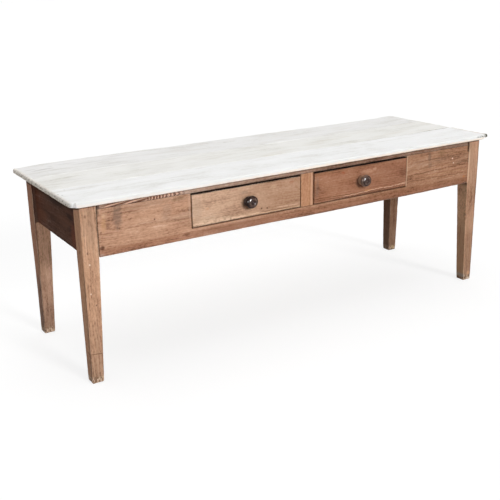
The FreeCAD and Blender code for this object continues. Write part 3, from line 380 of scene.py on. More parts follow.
TOP_FRONT_SPOTS = (
    (-1096, -343, 1.8, 14, 0.85, 92, 80, 70), (-1084, -339, 5, 7, 0.35, 150, 136, 122),
    (-994, -192, 40, 5, 0.3, 206, 206, 206), (-1048, -126, 5, 4, 0.5, 128, 116, 106),
    (-1083, -199, 6, 5, 0.5, 120, 108, 98), (-1093, -178, 5, 5, 0.5, 120, 108, 98),
    (-425, -120, 26, 5, 0.3, 196, 188, 176), (-191, -163, 30, 5, 0.25, 200, 192, 182))
TOP_MIDDLE_SPOTS = (
    (-447, 112, 34, 6, 0.3, 190, 182, 170), (-1039, 57, 9, 5, 0.4, 178, 172, 164),
    (-700, 196, 120, 8, 0.3, 206, 200, 196), (-260, 60, 120, 7, 0.3, 208, 200, 190))
TOP_BACK_SPOTS = (
    (-1008, 262, 62, 8, 0.55, 166, 160, 156), (-1050, 292, 40, 7, 0.4, 178, 172, 166),
    (-800, 268, 90, 9, 0.4, 196, 192, 190), (-880, 306, 60, 8, 0.35, 190, 186, 184),
    (-620, 318, 80, 8, 0.35, 196, 190, 190), (-300, 322, 90, 8, 0.3, 194, 188, 184),
    (-961, 291, 16, 7, 0.3, 166, 160, 152), (-56, 291, 12, 6, 0.35, 158, 150, 140))


def joint(paint, side, reach, strength=0.95):
    """A dark line where the frame (side -1) and the legs (side 1) meet, at the right only near the top."""
    away = (abs(paint.x) - LEG_INNER) * side
    near = (away + paint.cloud(0, 0, 30) * 0.006).drop(0, reach)
    clean = paint.x.step(0, 0.1) * paint.z.before(OPENING_TOP, -49, -24) * 0.85
    paint.lay(near * strength * (1 - clean), (50, 29, 20))


def frame_marks(paint, wood):
    """The front frame under its top rail: a redder lower rail, smudges, knots and holes, painted shade along
    the edge under the drawers and in two spots, a worn foot, and panels rubbed pale beside the drawers."""
    x, z = paint.x, paint.z
    low = (z + wood.bands * 0.01).drop(0.562, 0.574)
    paint.lay(low * 0.45, (190, 152, 135), "MULTIPLY")
    paint.spots(FRAME_SPOTS)
    paint.threads(FRAME_THREADS)
    # painted shade at the top of the lower rail, for the gap under the drawers
    under = (z + wood.mottle * 0.004).past(OPENING_FOOT, -3.8, -1.5)
    paint.lay(under * x.band(-PANEL_EDGE, PANEL_EDGE, 0.0005) * 0.75, (70, 40, 26))
    foot = (z + wood.streaks * 0.006).before(RAIL_FOOT, 0.5, 6)
    paint.lay(foot * 0.55, (92, 64, 52))
    right = (x + wood.mottle * 0.003).band(PANEL_EDGE - 0.0003, PANEL_EDGE + 0.0037, 0.0012)
    right = right * z.past(OPENING_FOOT, -5, 5)
    paint.lay(right * 0.65, (226, 190, 160))
    left = (x + wood.mottle * 0.003).band(-PANEL_EDGE - 0.0115, -PANEL_EDGE - 0.004, 0.002)
    left = left * z.past(OPENING_FOOT, 11, 61)
    paint.lay(left * 0.35, (210, 176, 152))
    joint(paint, -1, 0.006)


def rail_marks(paint, wood):
    """The rail over the drawers: flame at its left end, long slanting strokes and then small arcs, painted
    shade along its top under the tabletop, a near-black line of painted shade along its foot over the gap above
    the drawers, and dark spots at both ends of its top."""
    x, z = paint.x, paint.z
    height = z - 0.738
    sway = wood.blotches * 0.7 + wood.bands * 0.5
    strokes = (x * 11 - z * 88 + sway * 0.9 + wood.streaks * 0.5 + 0.35).math("FRACT")
    run = x + 0.787
    bow = height * height * 4900 - height * 10
    arcs = (run * 83 - run * run * 129 + bow + sway * 1.5 + wood.mottle * 1.2).math("FRACT")
    turn = (x + wood.mottle * 0.1).step(-0.797, -0.757)
    part = strokes + (arcs - strokes) * turn
    reach = x.band(-0.975, -0.625, 0.035)
    dark = part.step(0.3, 0.62) * part.drop(0.76, 0.98)
    light = abs(part - 0.12).drop(0, 0.22) * abs(height).drop(0.003, 0.01)
    uneven = (wood.mottle + wood.streaks).step(-0.16, 0.1) * 0.45 + 0.55
    paint.lay(reach * dark * uneven, (104, 60, 43))
    paint.lay(reach * light * 0.85, (240, 190, 160))
    # painted shade under the tabletop's overhang
    top = (z + wood.mottle * 0.008).past(UNDERSIDE, -8, -2.5)
    paint.lay(top * 0.75, (88, 62, 50))
    # painted shade: the gap over the drawers drawn near black on the rail's foot
    paint.lay(z.line(OPENING_TOP - 0.0004, 0.0044) * 0.95, (22, 11, 7))
    paint.spots(((993, 739, 9, 16, 0.9, 60, 42, 30), (-994, 739, 10, 16, 0.85, 66, 52, 46)))
    joint(paint, -1, 0.008)


def divider_marks(paint, wood):
    """The upright between the drawers: a pale strip beside its right edge, and both edges darkened as painted
    shade of the gaps beside the drawers.
    """
    place = paint.x + paint.cloud(0, 0, 30) * 0.004
    right = place.past(DIVIDER_EDGE, -5, -3)
    left = place.before(-DIVIDER_EDGE, 1.3, 2.7)
    edge = right.math("MAXIMUM", left)
    paint.lay((paint.x + wood.streaks * 0.006).band(0.019, 0.03, 0.0025) * 0.45, (220, 176, 146))
    # painted shade of the gaps beside the drawers
    paint.lay(edge * 0.85, (84, 46, 30))


def drawer_marks(spots, threads):
    """A drawer front, with the right one's left edge dark as painted shade of the gap beside it, a dark foot,
    and a nearly black top edge, painted shade that shows in the gap over it."""
    def marks(paint, wood):
        paint.spots(spots)
        paint.threads(threads)
        # painted shade of the gap at the right drawer's left edge
        edge = RIGHT_DRAWER_EDGE - 0.0008
        paint.lay((paint.x + wood.mottle * 0.004).band(edge - 0.0102, edge, 0.0008) * 0.85, (84, 46, 30))
        foot = (paint.z + wood.mottle * 0.004).before(DRAWER_FOOT, 1.4, 3.6)
        paint.lay(foot * 0.7, (66, 38, 24))
        # painted shade: the top edge drawn nearly black for the gap over the drawer
        top = (paint.z + wood.mottle * 0.003).past(DRAWER_TOP, -2.8, -1.2)
        paint.lay(top * 0.97, (22, 13, 9))
    return marks


def leg_marks(spots=(), scratch=None, top=0, outside_shade=None, lit_inside=None, edge=None, shin_shade=None):
    """Legs go greyer towards their feet, and are dirty at the floor and at the frame, with painted shade under
    the top and where a back leg's front meets its end apron. scratch is a scratch's height in mm, and top tells
    how pale the upper part is. outside and shin are painted shade that darkens the left face and the lower
    part; inside is painted light on a right leg's inner side face, and edge is the colour of its other side
    face."""
    def marks(paint, wood):
        x, y, z = paint.x, paint.y, paint.z
        left_face = x.before(-LEG_OUTER, 2, 4)
        low = (z + wood.blotches * 0.25).drop(0, 0.3)
        paint.lay(low * 0.35, (146, 120, 100))
        if top:
            paint.lay((z + wood.blotches * 0.2).step(0.5, 0.66) * top, (222, 178, 146))
        # painted shade: the left face multiplied darker
        if outside_shade:
            face = x.before(-LEG_OUTER, 2.5, 4.5)
            paint.lay(face * (z.step(0.2, 0.4) * 0.35 + 0.65), outside_shade, "MULTIPLY")
        # painted light on the inner face of a right leg, with painted shade under the rail at its top
        if lit_inside:
            away = x + (RAIL_FOOT - z).step(0, 0.53) * -TAPER
            figure = wood.streaks * 1.4 + wood.mottle * 0.9 + wood.blotches * 0.7 + 0.5
            dark, pale = ([part * level for level in lit_inside] for part in (0.8, 1.04))
            lit = paint.ramp(figure, [(0.2, *dark), (0.4, *lit_inside), (0.62, *pale)])
            face = away.before(LEG_INNER, 1.5, 4)
            paint.lay(face * 0.95, lit)
            shade = (z + wood.mottle * 0.02).past(RAIL_FOOT, -22, -4)
            shade = shade * z.before(RAIL_FOOT, -1, 2)
            paint.lay(face * shade * 0.9, (96, 62, 46))
        # painted shade multiplied on the lower part of the leg
        if shin_shade:
            paint.lay((z + wood.blotches * 0.1).drop(0.22, 0.4), shin_shade, "MULTIPLY")
        if scratch:
            groove = left_face * (y + wood.streaks * 0.012).line(LEG_FRONT + 0.0054, 0.007)
            paint.lay(groove * z.drop(0.4, 0.52) * 0.55, (78, 52, 38))
        if edge:
            strip = (x + wood.streaks * 0.004).band(LEG_INNER + 0.001, LEG_INNER + 0.009, 0.002)
            strip = strip * z.past(RAIL_FOOT, -14, 26)
            paint.lay(strip * z.drop(0.7, 0.715) * 0.65, (220, 186, 158))
            outer = (x + wood.streaks * 0.01).past(LEG_OUTER, -9, -4)
            paint.lay(outer * 0.6, edge)
        if scratch:
            line = (z + (x + 1.05) * 0.1).line(scratch * MM, 0.0035)
            paint.lay(line * 0.65, (92, 62, 44))
        foot = (z + wood.streaks * 0.03).drop(0.014, 0.036)
        scuffs = [(0.4, 84, 62, 48), (0.48, 150, 118, 92), (0.56, 216, 192, 168)]
        paint.lay(foot * 0.75, paint.ramp(wood.mottle + 0.5, scuffs))
        if spots:
            paint.spots(spots)
        # painted shade under the top, on the leg's top and its left face
        under = (z + paint.cloud(30, 30, 0) * 0.006).past(UNDERSIDE, -7.5, -4)
        inward = (y + 0.336).math("MINIMUM", 0.1)
        side = left_face * (inward * 0.25 + z).past(UNDERSIDE, -10.5, -7)
        paint.lay(under.math("MAXIMUM", side) * 0.85, (58, 30, 18))
        # painted shade on the strip of a back leg's front beside the inset end apron
        corner = abs(y - BACK_LEG_FRONT).drop(0.0008, 0.003)
        corner = corner * z.past(APRON_FOOT, -5, 1)
        paint.lay(corner * 0.85, (84, 46, 30))
        high = z.past(RAIL_FOOT, -4, 11)
        taper = z.step(0, RAIL_FOOT) * TAPER
        arris = (abs(x) - (LEG_INNER + TAPER) + taper + wood.mottle * 0.006).drop(0, 0.0045)
        paint.lay(arris * (1 - high) * 0.45, (92, 68, 54))
        plain = paint.colour
        joint(paint, 1, 0.006, 0.8)
        paint.colour = paint.mix(high, plain, paint.colour)
    return marks


def apron_marks(paint, wood):
    """Redder patches at both ends of the stained apron, and painted shade under the top."""
    red = (abs(paint.y + 0.02) + wood.blotches * 0.3).step(0.1, 0.26)
    paint.lay(red * 0.28, (120, 66, 46))
    paint.spots(APRON_SPOTS, "yz")
    # painted shade under the tabletop's overhang
    paint.lay((paint.z + wood.mottle * 0.02).step(0.692, 0.71) * 0.6, (44, 26, 20))


def plank_edges(paint, wood, mean):
    """The front side of a plank of the top, a little darker above as painted shade and rubbed warm below, and
    its mottled ends, chipped at the right.
    """
    red, green, blue = mean
    x, y, z = paint.x, paint.y, paint.z
    side = y.before(FRONT_EDGE, 1.9, 6.9)
    ragged = z + wood.mottle * 0.012
    # painted shade: the upper part of the front side a little darker
    paint.lay(side * ragged.step(0.76, 0.766), (red - 6, green - 6, blue - 7))
    low = side * ragged.drop(0.756, 0.764) * (x.step(-0.6, 0.1) * 0.5 + 0.5)
    paint.lay(low * 0.9, (250, 237, 222))
    paint.lay(low * ragged.before(UNDERSIDE, 0.5, 3) * 0.7, (214, 172, 140))
    mottle = paint.noise(paint.vector(x * 110, y * 75, z * 160), 4, 0.7)
    fringe = (abs(x) + mottle * 0.03).past(TOP_END, -17, 1)
    grey = mottle + 0.5
    grain = paint.ramp(grey, [(0.34, 150, 138, 124), (0.45, 220, 210, 196), (0.6, 240, 234, 224)])
    paint.lay(fringe * 0.8, grain)
    end = abs(x).past(TOP_END, -5.5, -2) * (z + mottle * 0.03).drop(0.754, 0.764)
    paint.lay(end, paint.ramp(grey, [(0.36, 96, 84, 72), (0.45, 220, 208, 194), (0.56, 240, 231, 217)]))
    arris = (z + mottle * 0.008).band(SURFACE - 0.0075, SURFACE - 0.001, 0.0015)
    arris = arris * y.before(FRONT_EDGE, 1.9, 6.4)
    chips = (paint.noise(paint.vector(x * 170, 3, z * 60), 2) + 0.5).step(0.46, 0.56)
    paint.lay(x.step(1.026, 1.062) * arris * chips * 0.95, (88, 83, 70))
    tip = (x + mottle * 0.02).past(TOP_END, -12, -4)
    tip = tip * y.before(FRONT_EDGE, 6.4, 18.4)
    paint.lay(tip * 0.85, paint.ramp(grey, [(0.5, 46, 48, 38), (0.66, 150, 144, 122)]))


def bleached(name, mean, pith, seed, streak, spots):
    """A plank of the top, scrubbed white. streak tells how strong its warm grey streaks are."""
    paint = Paint(name)
    wood = Wood(paint, "x", pith, (0, 0.008), 8, 16, seed)
    level = wood.streaks * 0.45 + wood.bands * 0.65 + wood.blotches * 0.9 + wood.mottle * 0.45
    level = level + wood.fibre * 0.25 - wood.late * 0.06 + 0.52
    red, green, blue = mean
    tones = ((0, -46, -48, -52), (0.28, -13, -14, -16), (0.48, -1, -1, -1), (0.7, 3, 3, 4), (1, 6, 6, 7))
    paint.colour = paint.ramp(level, [(place, red + r, green + g, blue + b) for place, r, g, b in tones])
    warm = (wood.patches + wood.bands * 0.5 + wood.streaks * 0.3).step(0.02, 0.26)
    greys = paint.mix(paint.x.step(-0.8, 0), (198, 195, 192), (206, 198, 182))
    paint.lay(warm * streak, greys)
    holes = paint.dots(19, 0.04, 0.25)
    paint.lay(holes * 0.5, (128, 116, 104))
    paint.spots(spots, "xy")
    plank_edges(paint, wood, mean)
    paint.lay((paint.attribute("grime") + wood.streaks * 0.8).step(0.25, 0.85) * 0.7, (120, 108, 94))
    height = wood.fibre * 0.8 + wood.late * 0.25 + wood.streaks * 0.8 - holes
    return paint.finish(wood.blotches * 0.4 + 0.68, height, 0.0005)


def knob_wood():
    """Dark turned wood, with paler rings in the knobs' faces, the left one's rim nearly black as painted shade,
    and the right one's rim pale as a painted highlight.
    """
    paint = Paint("knob_wood")
    rub = paint.cloud(70, 70, 70, 4)
    fine = paint.cloud(420, 420, 420)
    aside, above = abs(paint.x - 0.005) - 0.3115, paint.z - 0.653
    radius = (aside * aside + above * above).math("SQRT")
    out = paint.y * -1
    front = -DRAWER_FACE
    face = out.step(front + 0.0234, front + 0.0334)
    tones = rub + fine * 0.5 + 0.5
    paint.colour = paint.ramp(tones, [(0.3, 30, 15, 11), (0.52, 54, 34, 29), (0.75, 104, 80, 68)])
    paint.lay(face * radius.line(0.0155, 0.005) * 0.35, (124, 102, 92))
    paint.lay(face * radius.line(0, 0.0045) * 0.35, (124, 102, 98))
    # painted shade: the left knob's rim nearly black; painted highlight: the right knob's rim pale
    rim = radius.step(0.0225, 0.0262) * out.step(front + 0.0134, front + 0.0214)
    rightward = paint.x.step(-0.1, 0.1)
    paint.lay(rim * (0.9 - rightward * 0.9), (26, 14, 10))
    paint.lay(rim * rightward * 0.8, (128, 104, 90))
    # painted light on the neck, strong on the right knob and slight on the left
    neck = out.drop(front + 0.0094, front + 0.0154)
    paint.lay(neck * (rightward * 0.85 + 0.05), (176, 136, 106))
    return paint.finish(0.42 - face * 0.22 + fine * 0.15, fine * 0.5 + rub * 0.4, 0.00015, 0.18)


def dull_iron():
    """Iron of screws and nails, rusty in places."""
    paint = Paint("dull_iron")
    rust = paint.cloud(150, 150, 150, 4)
    paint.colour = paint.ramp(rust + 0.5, [(0.35, 96, 92, 88), (0.6, 92, 62, 44)])
    paint.shader.inputs["Metallic"].default_value = 0.8
    return paint.finish(rust * 0.5 + 0.5, rust, 0.0003, 0.5)


DARK, BARE = (88, 59, 46), (196, 158, 116)
left_leg_marks = leg_marks(LEFT_LEG_SPOTS, 130, top=0.15, outside_shade=(248, 238, 230))
right_leg_marks = leg_marks(
    RIGHT_LEG_SPOTS, top=0.2, lit_inside=(255, 198, 158), edge=(108, 82, 72), shin_shade=(240, 238, 236))
back_leg_marks = leg_marks(outside_shade=(183, 167, 160), shin_shade=(202, 202, 204))
left_drawer_marks = drawer_marks(LEFT_DRAWER_SPOTS, LEFT_DRAWER_THREADS)
right_drawer_marks = drawer_marks(RIGHT_DRAWER_SPOTS, RIGHT_DRAWER_THREADS)
materials = {
    "frame": old_pine(
        "frame_pine", "x", (-220, 655), (190, 145, 116), (0.02, 0.01), 5, 14, 3, 1.25, second=(167, 122, 93),
        marks=frame_marks),
    "rail": old_pine(
        "rail_pine", "x", (-250, 600), (173, 140, 119), (0, 0.01), 4, 10, 7, 1.6, second=(132, 98, 78),
        span=(-0.6, 0.5), marks=rail_marks),
    "divider": old_pine(
        "divider_pine", "z", (-60, -200), (184, 133, 99), (0.02, 0), 5, 8, 2, marks=divider_marks),
    "leg_front_left": old_pine(
        "leg_pine_1", "z", (-980, -200), (195, 151, 120), (0.02, 0.01), 5, 10, 1, 1.3, marks=left_leg_marks),
    "leg_front_right": old_pine(
        "leg_pine_2", "z", (1090, -220), (176, 134, 106), (0.02, 0.01), 5, 10, 4, 1.2, marks=right_leg_marks),
    # painted light: the back left leg's colour raised to stand in for light on its front
    "leg_back_left": old_pine(
        "leg_pine_3_painted_light", "z", (-1020, 420), (224, 176, 144), (0.01, 0.01), 5, 10, 6, 1.3, marks=back_leg_marks),
    # painted shade: the back right leg's colour lowered to stand in for shade on it
    "leg_back_right": old_pine(
        "leg_pine_4_painted_shade", "z", (1030, 420), (123, 89, 68), (0.01, 0.02), 5, 10, 8, 1.3,
        marks=leg_marks(BACK_LEG_SPOTS)),
    "drawer_left_front": old_pine(
        "drawer_left_pine", "x", (-160, 790), (205, 167, 139), (0, 0.04), 5, 12, 5, second=(172, 131, 103),
        span=(-0.52, -0.1), marks=left_drawer_marks),
    "drawer_right_front": old_pine(
        "drawer_right_pine", "x", (-200, 500), (161, 111, 83), (0, -0.02), 6, 14, 9, second=(154, 105, 79),
        span=(0.1, 0.52), marks=right_drawer_marks),
    "apron": old_pine(
        "dark_pine", "y", (-900, 600), DARK, (0, 0.02), 5, 12, 11, 1.6, marks=apron_marks, gloss=0.01),
    "back": old_pine("back_pine", "x", (400, 600), (178, 136, 108), (0, 0.02), 5, 12, 12),
    "inner": old_pine("inner_pine", "y", (30, 400), BARE, (0.01, 0.01), 5, 12, 13, 0.7),
    "inner_x": old_pine("inner_pine_across", "x", (100, 400), BARE, (0.01, 0.01), 5, 12, 17, 0.7),
    "top_front": bleached("top_front_pine", (243, 243, 242), (-250, 700), 21, 0.08, TOP_FRONT_SPOTS),
    "top_middle": bleached("top_middle_pine", (237, 236, 232), (50, 700), 23, 0.35, TOP_MIDDLE_SPOTS),
    "top_back": bleached("top_back_pine", (235, 234, 232), (220, 700), 27, 0.3, TOP_BACK_SPOTS),
    "knob": knob_wood(),
    "iron": dull_iron(),
}

# The pieces that keep the CAD's own shape

DRESS = {
    "drawer_left_nails": "iron", "drawer_right_nails": "iron", "top_screws": "iron",
    "drawer_left_back": "inner_x", "drawer_right_back": "inner_x", "top_tongues": "inner_x",
}
for name, node in nodes.items():
    for held in node.material_slots:
        held.material = materials[DRESS.get(name, "inner")]

# Worn boards. ARC tells where the cuts near an edge lie, in parts of its radius.

ARC = (0, 0.268, 0.423, 0.586, 0.8, 1, 1.25)


def cuts(low, high, reach, step):
    """Places across a board: close together near its edges, and a step apart between them."""
    reach = min(reach, (high - low) * 0.38)
    near = [reach * part for part in ARC]
    inner = high - low - 2 * near[-1]
    count = max(1, round(inner / step))
    middle = [low + near[-1] + inner * index / count for index in range(1, count)]
    return [low + part for part in near] + middle + [high - part for part in reversed(near)]


def shell(places):
    """A closed box of quads with the given cuts along each axis: points and faces."""
    points, faces, known = [], [], {}

    def point(index):
        if index not in known:
            known[index] = len(points)
            points.append(Vector([places[axis][index[axis]] for axis in range(3)]))
        return known[index]

    for axis in range(3):
        first, second = (axis + 1) % 3, (axis + 2) % 3
        for side in (0, len(places[axis]) - 1):
            for i in range(len(places[first]) - 1):
                for j in range(len(places[second]) - 1):
                    loop = []
                    for di, dj in ((0, 0), (1, 0), (1, 1), (0, 1)):
                        index = [0, 0, 0]
                        index[axis], index[first], index[second] = side, i + di, j + dj
                        loop.append(point(tuple(index)))
                    faces.append(loop if side else loop[::-1])
    return points, faces


def add(name, data):
    """A new object in the scene."""
    made = bpy.data.objects.new(name, data)
    bpy.context.scene.collection.objects.link(made)
    return made


def stand(name, mesh, material, node, body="table_frame"):
    """Puts a mesh in the place of a node, on its body."""
    mesh.materials.append(materials[material])
    piece = add(name, mesh)
    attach(piece, body)
    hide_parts(node)


def worn(name, node, low, high, material, slot, body="table_frame", rounds=None, plain=0.5, step=14,
         waves=0.5, chips=1, seed=0, shape=None, grimy=None, ease=None):
    """A board with worn edges, in mm. rounds gives the radius of an edge by the two faces that meet there,
    such as '-y-z'. plain is the radius of the rest, and ease says how much of it a place has. The faces
    wave by up to waves mm, and chips tells how chipped the edges are. shape moves a finished point, and
    grimy tells how dirty it is. What stood proud of an edge is worn pale."""
    rounds = rounds or {}
    widest = max([plain, *rounds.values()])
    points, loops = shell([cuts(low[axis], high[axis], widest, step) for axis in range(3)])
    low, high = Vector(low), Vector(high)
    wear, grime, out = [], [], []
    for place in points:
        sign = ["-" if place[axis] - low[axis] < high[axis] - place[axis] else "+" for axis in range(3)]
        away = [min(place[axis] - low[axis], high[axis] - place[axis]) for axis in range(3)]
        radius = plain
        for edge, size in rounds.items():
            first, second = "xyz".index(edge[1]), "xyz".index(edge[3])
            met = sign[first] == edge[0] and sign[second] == edge[2]
            if met and max(away[first], away[second]) <= widest * 1.3:
                radius = max(radius, size * (ease(place, edge) if ease else 1))
        rough = noise.noise(place * 0.035 + Vector((seed, 0, 0)))
        fine = noise.noise(place * 0.13 + Vector((0, seed, 0)))
        radius = max(0.3, radius * (1 + 0.45 * rough + 0.35 * fine * chips))
        radius += max(0, fine - 0.42) * 6 * chips * min(1, radius / 1.5)
        radius = min(radius, 0.48 * min(high - low))
        inner = Vector([min(max(place[axis], low[axis] + radius), high[axis] - radius) for axis in range(3)])
        lean = place - inner
        turned = inner + lean * (radius / lean.length) if lean.length > radius else place
        cut = (place - turned).length / radius
        wear.append(min(1, cut * 2.4) * min(1, radius / 2.5))
        wave = Vector((noise.noise(place * 0.006 + Vector((9, seed, 0))),
                       noise.noise(place * 0.006 + Vector((0, 9, seed))),
                       noise.noise(place * 0.007 + Vector((seed, 0, 9))))) * waves
        spot = turned + wave
        if shape:
            spot = shape(spot)
        out.append(spot * MM)
        grime.append(grimy(spot) if grimy else 0)
    mesh = bpy.data.meshes.new(name)
    mesh.from_pydata(out, [], loops)
    for label, numbers in (("wear", wear), ("grime", grime)):
        mesh.attributes.new(label, "FLOAT", "POINT").data.foreach_set("value", numbers)
    mesh.shade_smooth()
    stand(name, mesh, material, node, body)


def worn_node(node, material, limits=None, slot="pine_frame", **details):
    """A worn piece as large as its node, without the tenons that run past the limits along an axis."""
    low, high = box(node)
    for axis, (least, most) in (limits or {}).items():
        low[axis], high[axis] = max(low[axis], least), min(high[axis], most)
    worn(node + "_worn", node, low, high, material, slot, **details)


def rise(low, high, value):
    """0 at low and 1 at high, smoothly."""
    share = min(max((value - low) / (high - low), 0), 1)
    return share * share * (3 - 2 * share)


# Planks of the top, in mm: rounded corners, a gap that opens to the right, and ends risen a little

ENDS = {"-x+z": 9, "+x+z": 7, "-x-z": 5, "+x-z": 4}
FRONT_JOINT, MIDDLE_FRONT, BACK_JOINT = -99.4, -97.9, 137.6
TIP = 1117
NOSE, TAIL = box("top_board_front")[0][1], box("top_board_back")[1][1]
LOW, HIGH = (level / MM for level in (UNDERSIDE, SURFACE))


def plank(corners, gap=None):
    """corners gives end, side and radius of each rounded corner; gap is the front plank's back edge."""
    def shape(spot):
        x, y, z = spot
        for end, side, radius in corners:
            along, across = (1 if end < 0 else -1), (1 if side < 0 else -1)
            u, v = radius - (x - end) * along, radius - (y - side) * across
            if u > 0 and v > 0:
                pull = max(u, v) / math.hypot(u, v)
                x, y = end + (radius - u * pull) * along, side + (radius - v * pull) * across
        if gap is not None and x > 1000:
            x -= 6 * rise(1000, TIP, x) * rise(NOSE + 0.4, -180, y)
        if gap is not None and y > gap - 30:
            y -= 2.4 * max(0, (x - 300) / 800) ** 2 * (1 - (gap - y) / 30)
        thick = (z - LOW) / (HIGH - LOW)
        left_end = 4 * rise(-1090, -960, x) * rise(-300, -650, x) * rise(-50, 370, y)
        high = 3 * rise(700, 1100, x) * rise(300, 0, y) + left_end
        low = 4 * rise(-50, 700, x) * rise(1095, 980, x) * rise(0, 370, y)
        z += thick * (high - low)
        z += (1 + 7.5 * (1 - thick)) * rise(1076, TIP, x) * rise(-270, NOSE + 0.4, y)
        return Vector((x, y, z))
    return shape


def seam(*places):
    """Dirt in the joints between the planks, more of it towards the right."""
    def grimy(spot):
        near = max(1 - abs(spot.y - place) / 2.2 for place in places)
        return near * (0.25 + 0.75 * rise(0, 1000, spot.x))
    return grimy


def nosing(place, edge):
    """The lower front arris is worn away more towards the right."""
    return 0.4 + 0.6 * rise(-400, 900, place.x) if edge == "-y-z" else 1


for seed, part, left, front, right, back, rounds, plain, corners, joints, ease in (
        (1, "front", -1105, NOSE, TIP, FRONT_JOINT, {"-y+z": 5, "-y-z": 6.5}, 1.2,
         ((-1105, NOSE, 44), (TIP, NOSE, 4)), (FRONT_JOINT,), nosing),
        (2, "middle", -1106, MIDDLE_FRONT, 1103, 137.2, {}, 1, (), (MIDDLE_FRONT, BACK_JOINT), None),
        (3, "back", -1106.4, 138, 1104, TAIL, {"+y+z": 6, "+y-z": 3}, 1,
         ((-1106.4, TAIL, 6), (1104, TAIL, 26)), (BACK_JOINT,), None)):
    worn("top_plank_" + part, "top_board_" + part, (left, front, LOW), (right, back, HIGH), "top_" + part,
         "scrubbed_top", rounds={**rounds, **ENDS}, plain=plain, seed=seed,
         shape=plank(corners, FRONT_JOINT if part == "front" else None), grimy=seam(*joints), ease=ease)

# Legs: square at the frame, tapered on their two inner faces down to the foot

SHOULDER, FOOT = RAIL_FOOT / MM, 4


def tapered(low, high, out):
    """out is how far the left face stands out in its upper part."""
    x_outer, y_outer = (max(low[axis], high[axis], key=abs) for axis in (0, 1))
    slim = TAPER / MM / (high[0] - low[0])

    def shape(spot):
        keep = 1 - slim * min(max((SHOULDER - spot.z) / (SHOULDER - FOOT), 0), 1)
        x = x_outer + (spot.x - x_outer) * keep - out * rise(200, 600, spot.z) * rise(-1040, -1060, spot.x)
        return Vector((x, y_outer + (spot.y - y_outer) * keep, max(spot.z, 0)))
    return shape


FOOT_EDGES = ("-x-z", "+x-z", "-y-z", "+y-z")
LEG_EDGES = {**dict.fromkeys(("-x-y", "+x-y", "-x+y", "+x+y"), 3), **dict.fromkeys(FOOT_EDGES, 6)}
for seed, name in enumerate(("leg_front_left", "leg_front_right", "leg_back_left", "leg_back_right"), 4):
    worn_node(name, name, rounds=LEG_EDGES, plain=1, seed=seed, waves=0.7, chips=1.2,
              shape=tapered(*box(name), out=4 if name == "leg_back_left" else 0))

# Aprons at the ends and the back, with worn lower edges

LOWER = dict.fromkeys(FOOT_EDGES, 2.6)
BETWEEN_LEGS = (-LEG_INNER / MM, LEG_INNER / MM)
FRONT_TO_BACK = (box("leg_front_left")[1][1], box("leg_back_left")[0][1])
for node in ("end_apron_left", "end_apron_right"):
    worn_node(node, "apron", {1: FRONT_TO_BACK}, "dark_apron", rounds=LOWER, seed=13)
worn_node("back_apron", "back", {0: BETWEEN_LEGS}, rounds=LOWER, seed=15)

# Front frame: thin rail over the drawers, rail under them, panels beside them, upright between them


def chipped(place, edge):
    """An edge that's worn in some stretches and nearly sharp in others."""
    return 0.7 + 1.1 * max(0, noise.noise(place * 0.018))


def sagged(spot):
    """The rail's foot hangs a little lower right of the middle."""
    low = min(max((OPENING_FOOT / MM - spot.z) / 45, 0), 1)
    return spot - Vector((0, 0, 3.2 * low * rise(-200, 60, spot.x) * rise(960, 640, spot.x)))


across = {0: BETWEEN_LEGS}
worn_node("front_top_rail", "rail", across, rounds={"-y-z": 1.6}, plain=0.6, seed=8, waves=0.4)
worn_node("front_bottom_rail", "frame", across, rounds={"-y-z": 3.2, "+y-z": 2}, seed=9, waves=0.4,
          shape=sagged)
worn_node("front_panel_left", "frame", across, rounds={"+x-y": 1.8}, seed=9, waves=0.4)
worn_node("front_panel_right", "frame", across, rounds={"-x-y": 3.4}, seed=9, waves=0.4, ease=chipped)
worn_node("drawer_divider", "divider", {2: (OPENING_FOOT / MM, OPENING_TOP / MM)},
          rounds={"-x-y": 2.4, "+x-y": 1.6}, seed=10, waves=0.3)

# Knobs, turned, with heads that tilt a little. KNOB has radius and distance from the drawer front, in mm.

TURNS, TILT_RIGHT, TILT_UP = 64, 0.08, 0.06
DOME = [(14.6 + 13.4 * math.sin(math.radians(lean)), 39 - 15 * (1 - math.cos(math.radians(lean))))
        for lean in range(0, 91, 9)]
KNOB = [(0, 38.3), (2, 38.2), (3.6, 37.7), (5.2, 37.1), (7, 36.9), (9, 37.4), (11, 38.2), (13, 38.8),
        *DOME, (27.6, 21.6), (26.2, 19.4), (23.8, 17.6), (20.6, 16), (17.4, 14.4), (15.4, 13), (14.2, 11.2),
        (14.2, 9.4), (16.2, 7.8), (19.6, 6.6), (22, 4.8), (22.6, 2.4), (22.2, 0.2), (8.2, 0), (8, -1.5),
        (8, -20.8), (7.4, -21.6), (0, -21.6)]


def turned_knob(side):
    node = f"drawer_{side}_knob"
    centre, _, height = ((low + high) / 2 for low, high in zip(*box(node)))
    points, loops, rows = [], [], []
    for radius, out in KNOB:
        row = []
        tilt = max(out, 0)
        for turn in range(TURNS if radius else 1):
            angle = math.tau * turn / TURNS
            uneven = 1 + 0.012 * noise.noise(Vector((math.cos(angle), math.sin(angle), out * 0.1 + centre)))
            row.append(len(points))
            points.append(Vector((centre + tilt * TILT_RIGHT + radius * uneven * math.cos(angle),
                                  DRAWER_FACE / MM - out,
                                  height + tilt * TILT_UP + radius * uneven * math.sin(angle))) * MM)
        rows.append(row * TURNS if len(row) == 1 else row)
    for upper, lower in zip(rows, rows[1:]):
        for turn in range(TURNS):
            after = (turn + 1) % TURNS
            loop = [upper[turn], upper[after], lower[after], lower[turn]]
            loops.append([index for place, index in enumerate(loop) if index not in loop[:place]])
    mesh = bpy.data.meshes.new("knob_" + side)
    mesh.from_pydata(points, [], loops)
    mesh.shade_smooth()
    stand("knob_" + side, mesh, "knob", node, "drawer_" + side)


turned_knob("left")
turned_knob("right")

